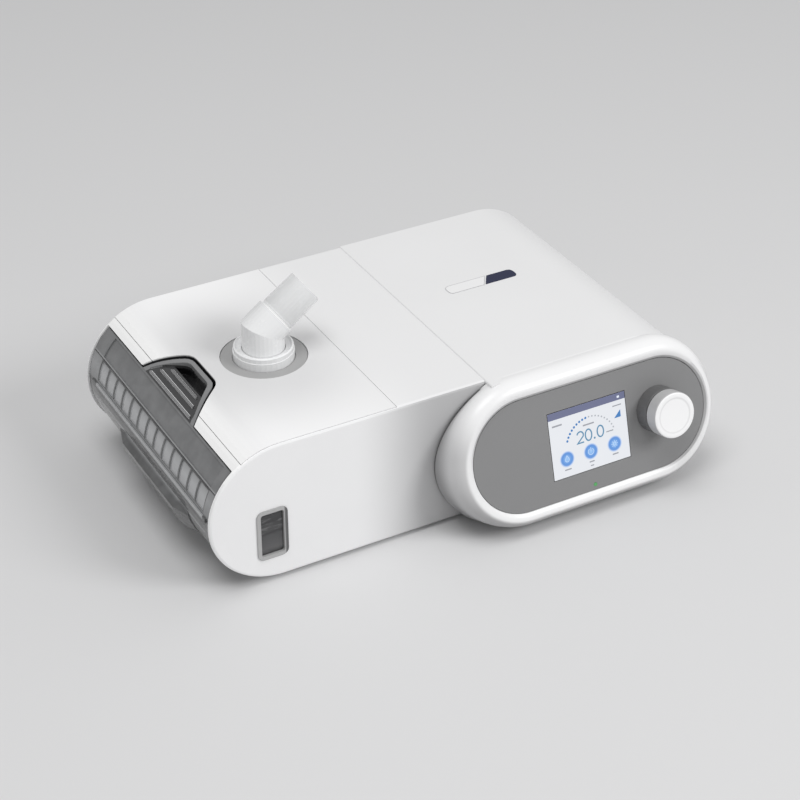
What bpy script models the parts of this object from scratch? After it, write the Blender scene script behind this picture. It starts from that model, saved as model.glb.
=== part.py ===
"""Bilevel positive airway pressure machine with a heated humidifier at its left.

The humidifier and the main unit share one stadium profile, drawn in XZ and extruded along Y. A water chamber slides out
of the humidifier's left end, a hose elbow turns in the lid, and a tilted pod in front carries the screen and the knob.
Left is -X, the front is -Y, and the origin is under the middle of the machine, on the table.
"""

import math

import bmesh
import bpy
from mathutils import Matrix, Vector

MM = 0.001
DEG = math.pi / 180

# Body: one profile for both modules
MAIN_WIDTH = 142.0 * MM
BODY_HEIGHT = 88.0 * MM
BODY_DEPTH = 177.0 * MM
EDGE_ROUND = 1.6 * MM
SMALL_ROUND = 0.4 * MM
SEAM_GAP = 0.3 * MM
FIT_GAP = 0.3 * MM
OVERRUN = 6.0 * MM
ARC_STEP = 5.0 * DEG
SMALL_ARC_STEP = 18.0 * DEG
SHARP_ANGLE = 30.0 * DEG
POINT_GAP = 0.01 * MM
WELD_GAP = 0.001 * MM

# Feet
FOOT_HEIGHT = 2.5 * MM
FOOT_SINK = 0.8 * MM
FOOT_RADIUS = 8.0 * MM
FOOT_MARGIN = 17.0 * MM

# Humidifier shell
CHEEK_WALL = 2.0 * MM
SHELL_WALL = 4.4 * MM
BAY_DEPTH = 138.0 * MM
COMPARTMENT_WIDTH = 34.0 * MM
BULKHEAD_WALL = 2.6 * MM
DOCK_WALL = 4.0 * MM
BAND_ANGLE = 39.5 * DEG
FLOOR_TIP = 1.2 * MM

# Top cover of the humidifier
COVER_REACH = 72.0 * MM
COVER_ANGLE = 32.0 * DEG
COVER_THICKNESS = 2.3 * MM
COVER_EDGE_INSET = 0.9 * MM

# Grip notch through the band and the cover, seen from above
NOTCH_CENTRE_SHARE = 0.496
NOTCH_TIP_SHARE = 0.0864
NOTCH_MOUTH_SHARE = 0.6409
NOTCH_TIP_HALF = 17.0 * MM
NOTCH_TIP_ROUND = 11.0 * MM
NOTCH_MOUTH_HALF = 37.0 * MM
NOTCH_DEPTH = 22.0 * MM

# Air port, its ring, the collar and the elbow
PORT_REACH = 31.5 * MM
PORT_Y_SHARE = 0.4802
PORT_DECK_SIZE = 60.0 * MM
PORT_RADIUS = 25.4 * MM
PORT_SINK = 0.5 * MM
COLLAR_RADIUS = 17.9 * MM
COLLAR_HEIGHT = 7.4 * MM
COLLAR_STEP_HEIGHT = 4.2 * MM
COLLAR_STEP = 0.5 * MM
COLLAR_DISH = 1.8 * MM
COLLAR_RIM = 1.0 * MM
ELBOW_RADIUS = 12.4 * MM
ELBOW_WALL = 1.6 * MM
ELBOW_BEND_HEIGHT = 17.2 * MM
ELBOW_TILT = 36.5 * DEG
ELBOW_SHOULDER = 10.5 * MM
ELBOW_LENGTH = 34.4 * MM
CONE_LARGE_RADIUS = 11.1 * MM
CONE_SMALL_RADIUS = 10.7 * MM
ELBOW_GAP = 0.3 * MM
ELBOW_SIDES = 32
PORT_SEAL_WIDTH = 2.6 * MM
PORT_SEAL_HEIGHT = 3.0 * MM
PORT_SEAL_LIP = 0.6 * MM
PORT_HOLE_RADIUS = 10.0 * MM

# Water level window in the front cheek
WINDOW_LEFT_REACH = 16.1 * MM
WINDOW_WIDTH = 18.8 * MM
WINDOW_BOTTOM_INSET = 14.0 * MM
WINDOW_HEIGHT = 33.0 * MM
WINDOW_ROUND = 4.0 * MM
WINDOW_FRAME = 2.4 * MM
WINDOW_PROUD = 0.4 * MM
WINDOW_LENS_SINK = 0.9 * MM

# Water chamber
CHAMBER_FACE_INSET = 1.0 * MM
CHAMBER_WALL = 2.2 * MM
CHAMBER_CLEARANCE = 0.4 * MM
LID_CLEARANCE = 0.6 * MM
CHAMBER_RIGHT_GAP = 3.0 * MM
SLACK_ANGLE = 1.0 * DEG
PARTING_ANGLE = 61.5 * DEG
FACE_FRONT_RIM = 8.0 * MM
FACE_REAR_RIM = 12.9 * MM
FACE_SINK = 0.8 * MM
FACE_MARGIN_ANGLE = 1.4 * DEG
GRID_TOP_ANGLE = 63.2 * DEG
GRID_BOTTOM_ANGLE = 80.6 * DEG
GRID_CELLS = 13
GRID_RIB = 1.4 * MM
GRID_SINK = 0.7 * MM
LIP_ANGLE = 83.5 * DEG
LIP_END_ANGLE = 87.0 * DEG
LIP_HEIGHT = 0.8 * MM
SCOOP_GAP = 1.6 * MM
SCOOP_RIM = 2.6 * MM
SCOOP_DEPTH = 10.5 * MM
SCOOP_PAD_WIDTH = 13.5 * MM
SCOOP_PAD_SINK = 2.4 * MM
SCOOP_PAD_MARGIN = 9.5 * MM
SCOOP_PAD_NARROWING = 0.62
SCOOP_RIBS = 3
SCOOP_RIB_WIDTH = 1.5 * MM
SCOOP_RIB_HEIGHT = 0.9 * MM
GRIP_FRONT_INSET = 33.0 * MM
GRIP_BACK_INSET = 47.0 * MM
GRIP_RAMP = 13.0 * MM
GRIP_OUT = 4.6 * MM
GRIP_TOP_ANGLE = 98.0 * DEG
GRIP_BOTTOM_ANGLE = 124.0 * DEG
GRIP_TIP_ANGLE = 5.0 * DEG
GRIP_WALL = 2.0 * MM
GRIP_SKIN = 0.5 * MM
CHAMBER_SEAL_WIDTH = 1.5 * MM
CHAMBER_SEAL_HEIGHT = 4.0 * MM
OUTLET_HOLE_RADIUS = 8.6 * MM
INLET_WIDTH = 30.0 * MM
INLET_HEIGHT = 11.0 * MM
INLET_BELOW_PARTING = 9.5 * MM

# Heater under the chamber
HEATER_LEFT_MARGIN = 4.0 * MM
HEATER_RIGHT_MARGIN = 22.0 * MM
HEATER_LENGTH = 110.0 * MM
HEATER_ROUND = 8.0 * MM
HEATER_THICKNESS = 1.6 * MM
HEATER_LEDGE = 2.5 * MM
CHAMBER_PLATE_THICKNESS = 1.2 * MM

# Base covers
BASE_RECESS = 1.8 * MM
BASE_RIM = 16.0 * MM
BASE_ROUND = 6.0 * MM
BASE_LEFT_REACH = 0.5 * MM
SCREW_RADIUS = 2.8 * MM
SCREW_MARGIN = 7.0 * MM

# Air path between the modules
DOCK_RADIUS = 11.0 * MM
DUCT_WALL = 1.5 * MM
DUCT_SIDES = 28
DUCT_SPIGOT = 10.9 * MM
DOCK_SEAL_RADIUS = 14.0 * MM
DOCK_SEAL_THICKNESS = 1.4 * MM
DOCK_PLATE_MARGIN = 12.0 * MM
DOCK_PLATE_HEIGHT = 60.0 * MM
DOCK_PLUG_Y_INSET = 62.0 * MM
DOCK_PLUG_WIDTH = 22.0 * MM
DOCK_PLUG_HEIGHT = 8.0 * MM
DOCK_PLUG_DEPTH = 1.9 * MM
HOOK_Y_INSET = 26.0 * MM
HOOK_WIDTH = 12.0 * MM
HOOK_HEIGHT = 10.0 * MM
HOOK_REACH = 1.6 * MM
HOOK_DROP = 24.0 * MM

# Main case
CASE_WALL = 2.6 * MM
CASE_NOSE = 7.2 * MM
CASE_CORNER = 1.2 * MM

# Pod: a stack of outlines lofted forward, the first one upright, the rest parallel to the tilted fascia
POD_TILT = 16.0 * DEG
FASCIA_SETBACK = 12.0 * MM
POD_ROOT_SHARE = 1.25
POD_ROOT_X_INSET = 24.5 * MM
POD_ROOT_DROP = 3.0 * MM
POD_ROOT_SPREAD = 107.0 * DEG
POD_ROOT_TURN = -5.3 * DEG
POD_ARC_POINTS = 21
CREASE_DEPTH = -4.6 * MM
CREASE_INSET = 0.3 * MM
CREASE_RISE = 1.6 * MM
CREASE_LEFT = -31.5 * MM
CREASE_OVERHANG = 2.6 * MM
SHOULDER_DEPTH = -2.2 * MM
SHOULDER_INSET = 1.8 * MM
SHOULDER_RISE = 1.0 * MM
SHOULDER_LEFT = -29.6 * MM
SHOULDER_OVERHANG = 2.3 * MM
RIM_DEPTH = 0.0 * MM
RIM_INSET = 4.8 * MM
RIM_RISE = 0.4 * MM
RIM_LEFT = -25.2 * MM
RIM_OVERHANG = 0.4 * MM
RIM_FACE_DEPTH = 1.1 * MM
RIM_FACE_INSET = 7.6 * MM
RIM_FACE_RISE = 0.5 * MM
RIM_FACE_LEFT = -23.0 * MM
RIM_FACE_RIGHT_INSET = 2.4 * MM
POD_WALL = 2.6 * MM
POD_BACK_WALL = 2.4 * MM
CAVITY_FRONT_DEPTH = -4.6 * MM

# Fascia panel and what it carries
FASCIA_INSET = 10.3 * MM
FASCIA_RISE = 0.6 * MM
FASCIA_LEFT = -20.3 * MM
FASCIA_RIGHT_INSET = 4.9 * MM
FASCIA_SINK = 0.6 * MM
FASCIA_THICKNESS = 2.0 * MM
FASCIA_LEDGE = 3.0 * MM
SCREEN_X_SHARE = 0.4007
SCREEN_RISE = 0.3 * MM
SCREEN_WIDTH_SHARE = 0.3704
SCREEN_HEIGHT_SHARE = 0.4636
SCREEN_GLASS = 1.2 * MM
MODULE_MARGIN = 3.0 * MM
MODULE_THICKNESS = 2.6 * MM
BOARD_THICKNESS = 1.6 * MM
BOARD_X_SHARE = 0.4366
BOARD_WIDTH_SHARE = 0.7887
BOARD_HEIGHT_SHARE = 0.75
LED_X_SHARE = 0.4042
LED_EDGE_INSET = 3.1 * MM
LED_RADIUS = 1.1 * MM

# Knob
KNOB_X_SHARE = 0.7324
KNOB_RISE = 4.0 * MM
KNOB_RADIUS = 13.8 * MM
KNOB_TOP = 19.0 * MM
KNOB_BACK = 10.3 * MM
KNOB_WALL = 2.0 * MM
KNOB_ROUND = 1.1 * MM
KNOB_BOSS = 4.6 * MM
KNOB_TRAVEL = 0.6 * MM
COLLAR_BASE_RADIUS = 14.0 * MM
COLLAR_BASE_HEIGHT = 9.3 * MM
COLLAR_BASE_WALL = 1.8 * MM
SHAFT_RADIUS = 3.0 * MM
SHAFT_GAP = 0.25 * MM
BUSHING_RADIUS = 4.5 * MM
ENCODER_SIZE = 13.0 * MM
ENCODER_WALL = 1.6 * MM
SLIDER_RADIUS = 4.4 * MM
SLIDER_THICKNESS = 1.2 * MM
ENCODER_DEPTH = 5.4 * MM

# Blower, seen from above; its outlet runs to the left
BLOWER_RIGHT_INSET = 56.0 * MM
BLOWER_BACK_INSET = 79.0 * MM
VOLUTE_START = 32.0 * MM
VOLUTE_END = 44.0 * MM
VOLUTE_STEPS = 28
VOLUTE_HEIGHT = 26.0 * MM
VOLUTE_WALL = 2.0 * MM
VOLUTE_OUTLET = 38.0 * MM
VOLUTE_CHANNEL = 24.0 * MM
BLOWER_EYE_RADIUS = 15.0 * MM
IMPELLER_RADIUS = 28.0 * MM
IMPELLER_HEIGHT = 11.0 * MM
IMPELLER_DISC = 1.4 * MM
IMPELLER_HUB_RADIUS = 6.0 * MM
IMPELLER_HUB_SHARE = 0.8
BLADE_COUNT = 11
BLADE_THICKNESS = 1.0 * MM
BLADE_INNER_RADIUS = 11.0 * MM
BLADE_SWEEP = 42.0 * DEG
BLADE_TIP_INSET = 0.5 * MM
BLADE_STEPS = 3
MOTOR_RADIUS = 19.0 * MM
MOTOR_FLOOR_GAP = 4.3 * MM
MOTOR_SHAFT_RADIUS = 2.0 * MM
MOUNT_RADIUS = 4.5 * MM
MOUNT_WAIST_SHARE = 0.7
MOUNT_CIRCLE = 27.0 * MM
MOUNT_COUNT = 3
BELLOWS_RIBS = 4

# Main board under the roof
MAIN_BOARD_X_SHARE = 0.4085
MAIN_BOARD_Y_SHARE = 0.4407
MAIN_BOARD_WIDTH_SHARE = 0.6761
MAIN_BOARD_LENGTH_SHARE = 0.6667
MAIN_BOARD_DROP = 11.0 * MM
BOARD_CORNER = 2.0 * MM
POST_RADIUS = 2.6 * MM
POST_MARGIN = 8.0 * MM

# Rear panel
REAR_THICKNESS = 2.4 * MM
REAR_LEFT_MARGIN = 3.4 * MM
REAR_ROUND = 4.0 * MM
FILTER_X_SHARE = 0.6761
FILTER_WIDTH_SHARE = 0.3521
FILTER_HEIGHT_SHARE = 0.5
FILTER_POCKET = 15.0 * MM
FILTER_WALL = 1.8 * MM
FILTER_ROUND = 3.0 * MM
FILTER_THICKNESS = 8.0 * MM
FILTER_LEDGE = 4.0 * MM
TRAY_SETBACK = 0.25 * MM
GRILLE_THICKNESS = 2.2 * MM
GRILLE_SLOTS = 9
GRILLE_SLOT_HEIGHT = 1.8 * MM
GRILLE_MARGIN = 6.0 * MM
HINGE_PIN_RADIUS = 0.9 * MM
HINGE_PIN_REACH = 1.2 * MM
KNUCKLE_RADIUS = 1.7 * MM
INLET_JACK_X_INSET = 22.0 * MM
INLET_JACK_RADIUS = 5.2 * MM
INLET_JACK_BORE = 3.4 * MM
INLET_JACK_PIN = 1.0 * MM
INLET_JACK_DEPTH = 11.0 * MM
INLET_JACK_FLANGE = 1.2 * MM
CARD_X_SHARE = 0.3099
CARD_BELOW_AXIS = 16.0 * MM
CARD_DOOR_WIDTH = 30.0 * MM
CARD_DOOR_HEIGHT = 11.0 * MM
CARD_DOOR_THICKNESS = 1.6 * MM
CARD_POCKET = 3.4 * MM
CARD_SLOT_WIDTH = 24.5 * MM
CARD_SLOT_HEIGHT = 2.8 * MM
CARD_READER_DEPTH = 26.0 * MM
CARD_READER_MARGIN = 1.8 * MM

# Widths and places that follow from the sizes above
HUMIDIFIER_WIDTH = BAY_DEPTH + COMPARTMENT_WIDTH
TOTAL_WIDTH = HUMIDIFIER_WIDTH + MAIN_WIDTH
END_RADIUS = BODY_HEIGHT / 2
BASE_Z = FOOT_HEIGHT
TOP_Z = BASE_Z + BODY_HEIGHT
AXIS_Z = BASE_Z + END_RADIUS
SEAM_X = HUMIDIFIER_WIDTH - TOTAL_WIDTH / 2
LEFT_AXIS_X = END_RADIUS - TOTAL_WIDTH / 2
RIGHT_AXIS_X = TOTAL_WIDTH / 2 - END_RADIUS
BAY_RIGHT_X = SEAM_X - COMPARTMENT_WIDTH

# The pod's outlines, in the tilted frame whose origin is at the top of the seam
CREASE_HALF = END_RADIUS - CREASE_INSET
CREASE_CENTRE = CREASE_RISE - END_RADIUS
CREASE_RIGHT = MAIN_WIDTH + CREASE_OVERHANG
SHOULDER_HALF = END_RADIUS - SHOULDER_INSET
SHOULDER_CENTRE = SHOULDER_RISE - END_RADIUS
SHOULDER_RIGHT = MAIN_WIDTH + SHOULDER_OVERHANG
RIM_HALF = END_RADIUS - RIM_INSET
RIM_CENTRE = RIM_RISE - END_RADIUS
RIM_RIGHT = MAIN_WIDTH + RIM_OVERHANG
RIM_FACE_HALF = END_RADIUS - RIM_FACE_INSET
RIM_FACE_CENTRE = RIM_FACE_RISE - END_RADIUS
RIM_FACE_RIGHT = MAIN_WIDTH - RIM_FACE_RIGHT_INSET
FASCIA_HALF = END_RADIUS - FASCIA_INSET
FASCIA_CENTRE = FASCIA_RISE - END_RADIUS
FASCIA_RIGHT = MAIN_WIDTH - FASCIA_RIGHT_INSET
SCREEN_X = MAIN_WIDTH * SCREEN_X_SHARE
SCREEN_Y = SCREEN_RISE - END_RADIUS
SCREEN_WIDTH = MAIN_WIDTH * SCREEN_WIDTH_SHARE
SCREEN_HEIGHT = BODY_HEIGHT * SCREEN_HEIGHT_SHARE
BOARD_X = MAIN_WIDTH * BOARD_X_SHARE
BOARD_WIDTH = MAIN_WIDTH * BOARD_WIDTH_SHARE
BOARD_HEIGHT = BODY_HEIGHT * BOARD_HEIGHT_SHARE
LED_X = MAIN_WIDTH * LED_X_SHARE
LED_Y = FASCIA_CENTRE - FASCIA_HALF + LED_EDGE_INSET
KNOB_X = MAIN_WIDTH * KNOB_X_SHARE
KNOB_Y = KNOB_RISE - END_RADIUS
POD_ROOT_RADIUS = END_RADIUS * POD_ROOT_SHARE
FASCIA_FRONT = -FASCIA_SINK
FASCIA_BACK = FASCIA_FRONT - FASCIA_THICKNESS
MODULE_BACK = FASCIA_BACK - FIT_GAP - MODULE_THICKNESS
ENCODER_FRONT = FASCIA_BACK - FIT_GAP
ENCODER_BACK = ENCODER_FRONT - ENCODER_DEPTH
BOARD_FRONT = ENCODER_BACK - FIT_GAP

# The body's front and back leave the knob's reach in front of them
KNOB_REACH = (
    FASCIA_SETBACK
    - KNOB_Y * math.sin(POD_TILT)
    + (KNOB_TOP - FASCIA_SINK) * math.cos(POD_TILT)
    + (KNOB_RADIUS - KNOB_ROUND) * math.sin(POD_TILT)
)
FRONT_Y = (KNOB_REACH - BODY_DEPTH) / 2
BACK_Y = FRONT_Y + BODY_DEPTH
POD_FRAME = Matrix.Translation((SEAM_X, FRONT_Y - FASCIA_SETBACK, TOP_Z)) @ Matrix.Rotation(
    math.pi / 2 - POD_TILT, 4, "X"
)
KNOB_PLACE = POD_FRAME @ Matrix.Translation((KNOB_X, KNOB_Y, 0))

# Humidifier
CHAMBER_RADIUS = END_RADIUS - CHAMBER_FACE_INSET
CHAMBER_FRONT_Y = FRONT_Y + CHEEK_WALL + CHAMBER_CLEARANCE
CHAMBER_BACK_Y = BACK_Y - CHEEK_WALL - CHAMBER_CLEARANCE
CHAMBER_RIGHT_X = BAY_RIGHT_X - CHAMBER_RIGHT_GAP
INNER_RADIUS = END_RADIUS - SHELL_WALL
LID_TOP = INNER_RADIUS * math.cos(BAND_ANGLE) - LID_CLEARANCE
TUB_FLOOR = INNER_RADIUS - CHAMBER_CLEARANCE
PARTING_Z = AXIS_Z + CHAMBER_RADIUS * math.cos(PARTING_ANGLE)
BAY_PORT_Z = PARTING_Z - INLET_BELOW_PARTING
COVER_RIGHT_X = LEFT_AXIS_X + COVER_REACH
PORT_X = LEFT_AXIS_X + PORT_REACH
PORT_Y = FRONT_Y + BODY_DEPTH * PORT_Y_SHARE
NOTCH_Y = FRONT_Y + BODY_DEPTH * NOTCH_CENTRE_SHARE
NOTCH_TIP_X = LEFT_AXIS_X - END_RADIUS * NOTCH_TIP_SHARE
NOTCH_MOUTH_X = LEFT_AXIS_X - END_RADIUS * NOTCH_MOUTH_SHARE
HEATER_LEFT_X = LEFT_AXIS_X + HEATER_LEFT_MARGIN
HEATER_RIGHT_X = BAY_RIGHT_X - HEATER_RIGHT_MARGIN
HUMIDIFIER_BASE_LEFT_X = LEFT_AXIS_X - BASE_LEFT_REACH
HUMIDIFIER_BASE_RIGHT_X = SEAM_X - BASE_RIM / 2
MAIN_BASE_LEFT_X = SEAM_X + BASE_RIM
CHAMBER_ORIGIN = Vector((CHAMBER_RIGHT_X, FRONT_Y + BODY_DEPTH / 2, PARTING_Z))

# Blower, board and rear panel
BLOWER_X = SEAM_X + MAIN_WIDTH - BLOWER_RIGHT_INSET
BLOWER_Y = BACK_Y - BLOWER_BACK_INSET
DOCK_Y = BLOWER_Y + VOLUTE_END - VOLUTE_CHANNEL / 2
VOLUTE_Z = AXIS_Z - VOLUTE_HEIGHT / 2
BLOWER_ORIGIN = Vector((BLOWER_X, BLOWER_Y, VOLUTE_Z))
MAIN_BOARD_X = SEAM_X + MAIN_WIDTH * MAIN_BOARD_X_SHARE
MAIN_BOARD_Y = FRONT_Y + BODY_DEPTH * MAIN_BOARD_Y_SHARE
MAIN_BOARD_WIDTH = MAIN_WIDTH * MAIN_BOARD_WIDTH_SHARE
MAIN_BOARD_LENGTH = BODY_DEPTH * MAIN_BOARD_LENGTH_SHARE
REAR_INNER_Y = BACK_Y - REAR_THICKNESS
FILTER_X = SEAM_X + MAIN_WIDTH * FILTER_X_SHARE
FILTER_WIDTH = MAIN_WIDTH * FILTER_WIDTH_SHARE
FILTER_HEIGHT = BODY_HEIGHT * FILTER_HEIGHT_SHARE
FILTER_PIVOT_Z = AXIS_Z - FILTER_HEIGHT / 2 + KNUCKLE_RADIUS + FIT_GAP
FILTER_PIVOT_Y = BACK_Y - KNUCKLE_RADIUS
FILTER_HINGE = Vector((FILTER_X, FILTER_PIVOT_Y, FILTER_PIVOT_Z))
CARD_X = SEAM_X + MAIN_WIDTH * CARD_X_SHARE
CARD_Z = AXIS_Z - CARD_BELOW_AXIS
CARD_PIVOT_Z = CARD_Z - CARD_DOOR_HEIGHT / 2 + KNUCKLE_RADIUS / 2 + FIT_GAP
CARD_PIVOT_Y = BACK_Y - CARD_DOOR_THICKNESS / 2
CARD_HINGE = Vector((CARD_X, CARD_PIVOT_Y, CARD_PIVOT_Z))

# Axes that carry an outline's (u, v) and its depth
PLAN = Matrix.Identity(4)
SIDE_VIEW = Matrix(((1, 0, 0, 0), (0, 0, -1, 0), (0, 1, 0, 0), (0, 0, 0, 1)))
END_VIEW = Matrix(((0, 0, 1, 0), (1, 0, 0, 0), (0, 1, 0, 0), (0, 0, 0, 1)))


def clear_scene():
    for item in list(bpy.data.objects):
        bpy.data.objects.remove(item, do_unlink=True)


def new_collection(name):
    group = bpy.data.collections.new(name)
    bpy.context.scene.collection.children.link(group)
    return group


clear_scene()
PARTS = new_collection("bipap_machine")
CUTTERS = new_collection("cutters")


def material(name, color, roughness, metallic=0.0, alpha=1.0):
    """A Principled material for one piece."""
    made = bpy.data.materials.new(name)
    made.use_nodes = True
    shader = made.node_tree.nodes["Principled BSDF"]
    shader.inputs["Base Color"].default_value = (*color, 1.0)
    shader.inputs["Roughness"].default_value = roughness
    shader.inputs["Metallic"].default_value = metallic
    shader.inputs["Alpha"].default_value = alpha
    made.diffuse_color = (*color, alpha)
    return made


WHITE = (0.86, 0.86, 0.86)
PALE_GREY = (0.42, 0.42, 0.42)
FASCIA_GREY = (0.26, 0.26, 0.265)
SMOKE = (0.3, 0.31, 0.32)
CLEAR = (0.9, 0.91, 0.92)
BLACK = (0.02, 0.02, 0.022)
GREEN_BOARD = (0.02, 0.16, 0.07)
METAL = (0.72, 0.73, 0.74)
RUBBER = (0.05, 0.05, 0.052)


def settle(item):
    """Replaces a piece's modifiers by the mesh that they make, and drops the cutters they used."""
    graph = bpy.context.evaluated_depsgraph_get()
    made = bpy.data.meshes.new_from_object(item.evaluated_get(graph))
    cutters = [step.object for step in item.modifiers if step.type == "BOOLEAN"]
    item.modifiers.clear()
    item.data = made
    for cutter in cutters:
        bpy.data.objects.remove(cutter)
    return item


def finish(item, color, roughness, metallic=0.0, alpha=1.0, origin=None):
    """Gives a finished piece its material and its smooth shading, and a moving piece its origin on its joint."""
    settle(item)
    if origin is not None:
        item.data.transform(Matrix.Translation(origin).inverted())
        item.location = origin
    item.data.materials.clear()
    item.data.materials.append(material(item.name, color, roughness, metallic, alpha))
    item.data.shade_smooth()
    item.data.set_sharp_from_angle(angle=SHARP_ANGLE)
    return item


def link(item, cutter=False):
    (CUTTERS if cutter else PARTS).objects.link(item)
    if cutter:
        item.hide_render = True
        item.display_type = "WIRE"
    return item


def from_bmesh(name, shape, cutter=False):
    mesh = bpy.data.meshes.new(name)
    bmesh.ops.recalc_face_normals(shape, faces=shape.faces)
    shape.to_mesh(mesh)
    shape.free()
    return link(bpy.data.objects.new(name, mesh), cutter)


def prism(name, outlines, low, high, axes=PLAN, cutter=False):
    """Extrudes closed outlines from low to high. Outlines inside the first one become holes."""
    curve = bpy.data.curves.new(name, "CURVE")
    curve.dimensions = "2D"
    curve.fill_mode = "BOTH"
    curve.extrude = (high - low) / 2
    for outline in outlines:
        outline = [point for i, point in enumerate(outline) if math.dist(point, outline[i - 1]) > POINT_GAP]
        spline = curve.splines.new("POLY")
        spline.points.add(len(outline[1:]))
        for point, (across, up) in zip(spline.points, outline):
            point.co = (across, up, 0, 1)
        spline.use_cyclic_u = True
    holder = link(bpy.data.objects.new(name + "_outline", curve), True)
    graph = bpy.context.evaluated_depsgraph_get()
    mesh = bpy.data.meshes.new_from_object(holder.evaluated_get(graph))
    bpy.data.objects.remove(holder)
    shape = bmesh.new()
    shape.from_mesh(mesh)
    bmesh.ops.remove_doubles(shape, verts=shape.verts, dist=WELD_GAP)
    bmesh.ops.dissolve_limit(shape, angle_limit=DEG / 10, verts=shape.verts, edges=shape.edges)
    shape.transform(axes @ Matrix.Translation((0, 0, (low + high) / 2)))
    bpy.data.meshes.remove(mesh)
    return from_bmesh(name, shape, cutter)


def box(name, low, high, cutter=False):
    shape = bmesh.new()
    bmesh.ops.create_cube(shape, size=1.0)
    size = Vector(high) - Vector(low)
    middle = (Vector(high) + Vector(low)) / 2
    shape.transform(Matrix.Translation(middle) @ Matrix.Diagonal((*size, 1)))
    return from_bmesh(name, shape, cutter)


def rod(name, radius, low, high, place=PLAN, sides=32, cutter=False):
    """A cylinder along its place's Z, from low to high."""
    shape = bmesh.new()
    bmesh.ops.create_cone(
        shape, cap_ends=True, segments=sides, radius1=radius, radius2=radius, depth=high - low
    )
    shape.transform(place @ Matrix.Translation((0, 0, (low + high) / 2)))
    return from_bmesh(name, shape, cutter)


def turned(name, profile, place=PLAN, sides=48, closed=False, cutter=False):
    """Spins a profile of (radius, height) points, listed down its outer side, about its place's Z."""
    mesh = bpy.data.meshes.new(name)
    edges = list(zip(range(len(profile)), range(1, len(profile))))
    if closed:
        edges.append((edges[-1][1], 0))
    mesh.from_pydata([(radius, 0, height) for radius, height in profile], edges, [])
    item = link(bpy.data.objects.new(name, mesh), cutter)
    screw = item.modifiers.new("spin", "SCREW")
    screw.steps = sides
    screw.render_steps = sides
    screw.use_merge_vertices = True
    screw.merge_threshold = POINT_GAP
    item.matrix_world = place
    graph = bpy.context.evaluated_depsgraph_get()
    spun = bpy.data.meshes.new_from_object(item.evaluated_get(graph))
    shape = bmesh.new()
    shape.from_mesh(spun)
    shape.transform(place)
    bpy.data.objects.remove(item)
    return from_bmesh(name, shape, cutter)


def loft(name, rings, cutter=False, hollow=False):
    """Skins rings that have the same number of points. A hollow loft closes on itself, an open one gets caps."""
    shape = bmesh.new()
    rows = [[shape.verts.new(point) for point in ring] for ring in rings]
    pairs = list(zip(rows, rows[1:]))
    if hollow:
        pairs.append((rows[-1], rows[0]))
    for near, far in pairs:
        for i in range(len(near)):
            j = (i + 1) % len(near)
            shape.faces.new((near[i], near[j], far[j], far[i]))
    if not hollow:
        shape.faces.new(reversed(rows[0]))
        shape.faces.new(rows[-1])
    return from_bmesh(name, shape, cutter)


def merge(name, items, cutter=False):
    """Joins solids that don't touch into one object."""
    shape = bmesh.new()
    for item in items:
        shape.from_mesh(item.data)
        bpy.data.objects.remove(item)
    return from_bmesh(name, shape, cutter)


def boolean(item, other, operation):
    if other.name not in CUTTERS.objects:
        PARTS.objects.unlink(other)
        link(other, True)
    step = item.modifiers.new(other.name, "BOOLEAN")
    step.operation = operation
    step.solver = "EXACT"
    step.object = other
    return item


def cut(item, *others):
    for other in others:
        boolean(item, other, "DIFFERENCE")
    return item


def join(item, *others):
    for other in others:
        boolean(item, other, "UNION")
    return item


def round_edges(item, width, segments=2, angle=50 * DEG, only=None):
    """Rounds sharp edges, or only those whose two ends pass a test."""
    step = item.modifiers.new("round", "BEVEL")
    step.width = width
    step.segments = segments
    step.use_clamp_overlap = True
    if only is None:
        step.limit_method = "ANGLE"
        step.angle_limit = angle
        return item
    step.limit_method = "WEIGHT"
    weights = item.data.attributes.new("bevel_weight_edge", "FLOAT", "EDGE")
    for edge in item.data.edges:
        if only(*[item.data.vertices[i].co for i in edge.vertices]):
            weights.data[edge.index].value = 1.0
    return item


def arc(centre, radius, start, end, step=ARC_STEP):
    """Points along an arc, both ends included; angles turn from +u to +v."""
    count = max(2, round(abs(end - start) / step))
    turns = [start + (end - start) * i / count for i in range(count + 1)]
    return [(centre[0] + radius * math.cos(t), centre[1] + radius * math.sin(t)) for t in turns]


def rounded(corners):
    """A closed outline from (u, v, radius) corners, each rounded by an arc that touches both its sides."""
    outline = []
    for i, (u, v, radius) in enumerate(corners):
        here = Vector((u, v))
        if radius <= 0:
            outline.append((u, v))
            continue
        back = (Vector(corners[i - 1][:2]) - here).normalized()
        ahead = (Vector(corners[(i + 1) % len(corners)][:2]) - here).normalized()
        half = back.angle(ahead) / 2
        centre = here + (back + ahead).normalized() * radius / math.sin(half)
        start = here + back * radius / math.tan(half) - centre
        end = here + ahead * radius / math.tan(half) - centre
        first = math.atan2(start.y, start.x)
        swing = math.remainder(math.atan2(end.y, end.x) - first, math.tau)
        outline += arc(centre, radius, first, first + swing, ARC_STEP if radius > END_RADIUS / 2 else SMALL_ARC_STEP)
    return outline


def rectangle(centre, width, height, radius=0.0):
    u, v = centre
    sides = ((-1, -1), (1, -1), (1, 1), (-1, 1))
    return rounded([(u + a * width / 2, v + b * height / 2, radius) for a, b in sides])


def stadium(left, right, centre, half, shrink=0.0):
    """An outline with round ends, clockwise from the top right, with the same number of points at any size."""
    radius = half - shrink
    step = math.pi / (POD_ARC_POINTS - 1)
    right_end = arc((right - half, centre), radius, math.pi / 2, -math.pi / 2, step)
    return right_end + arc((left + half, centre), radius, -math.pi / 2, -3 * math.pi / 2, step)


def end_arc(radius, start, end):
    """The left end's arc between two angles from the top."""
    return arc((LEFT_AXIS_X, AXIS_Z), radius, math.pi / 2 + start, math.pi / 2 + end)


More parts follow.
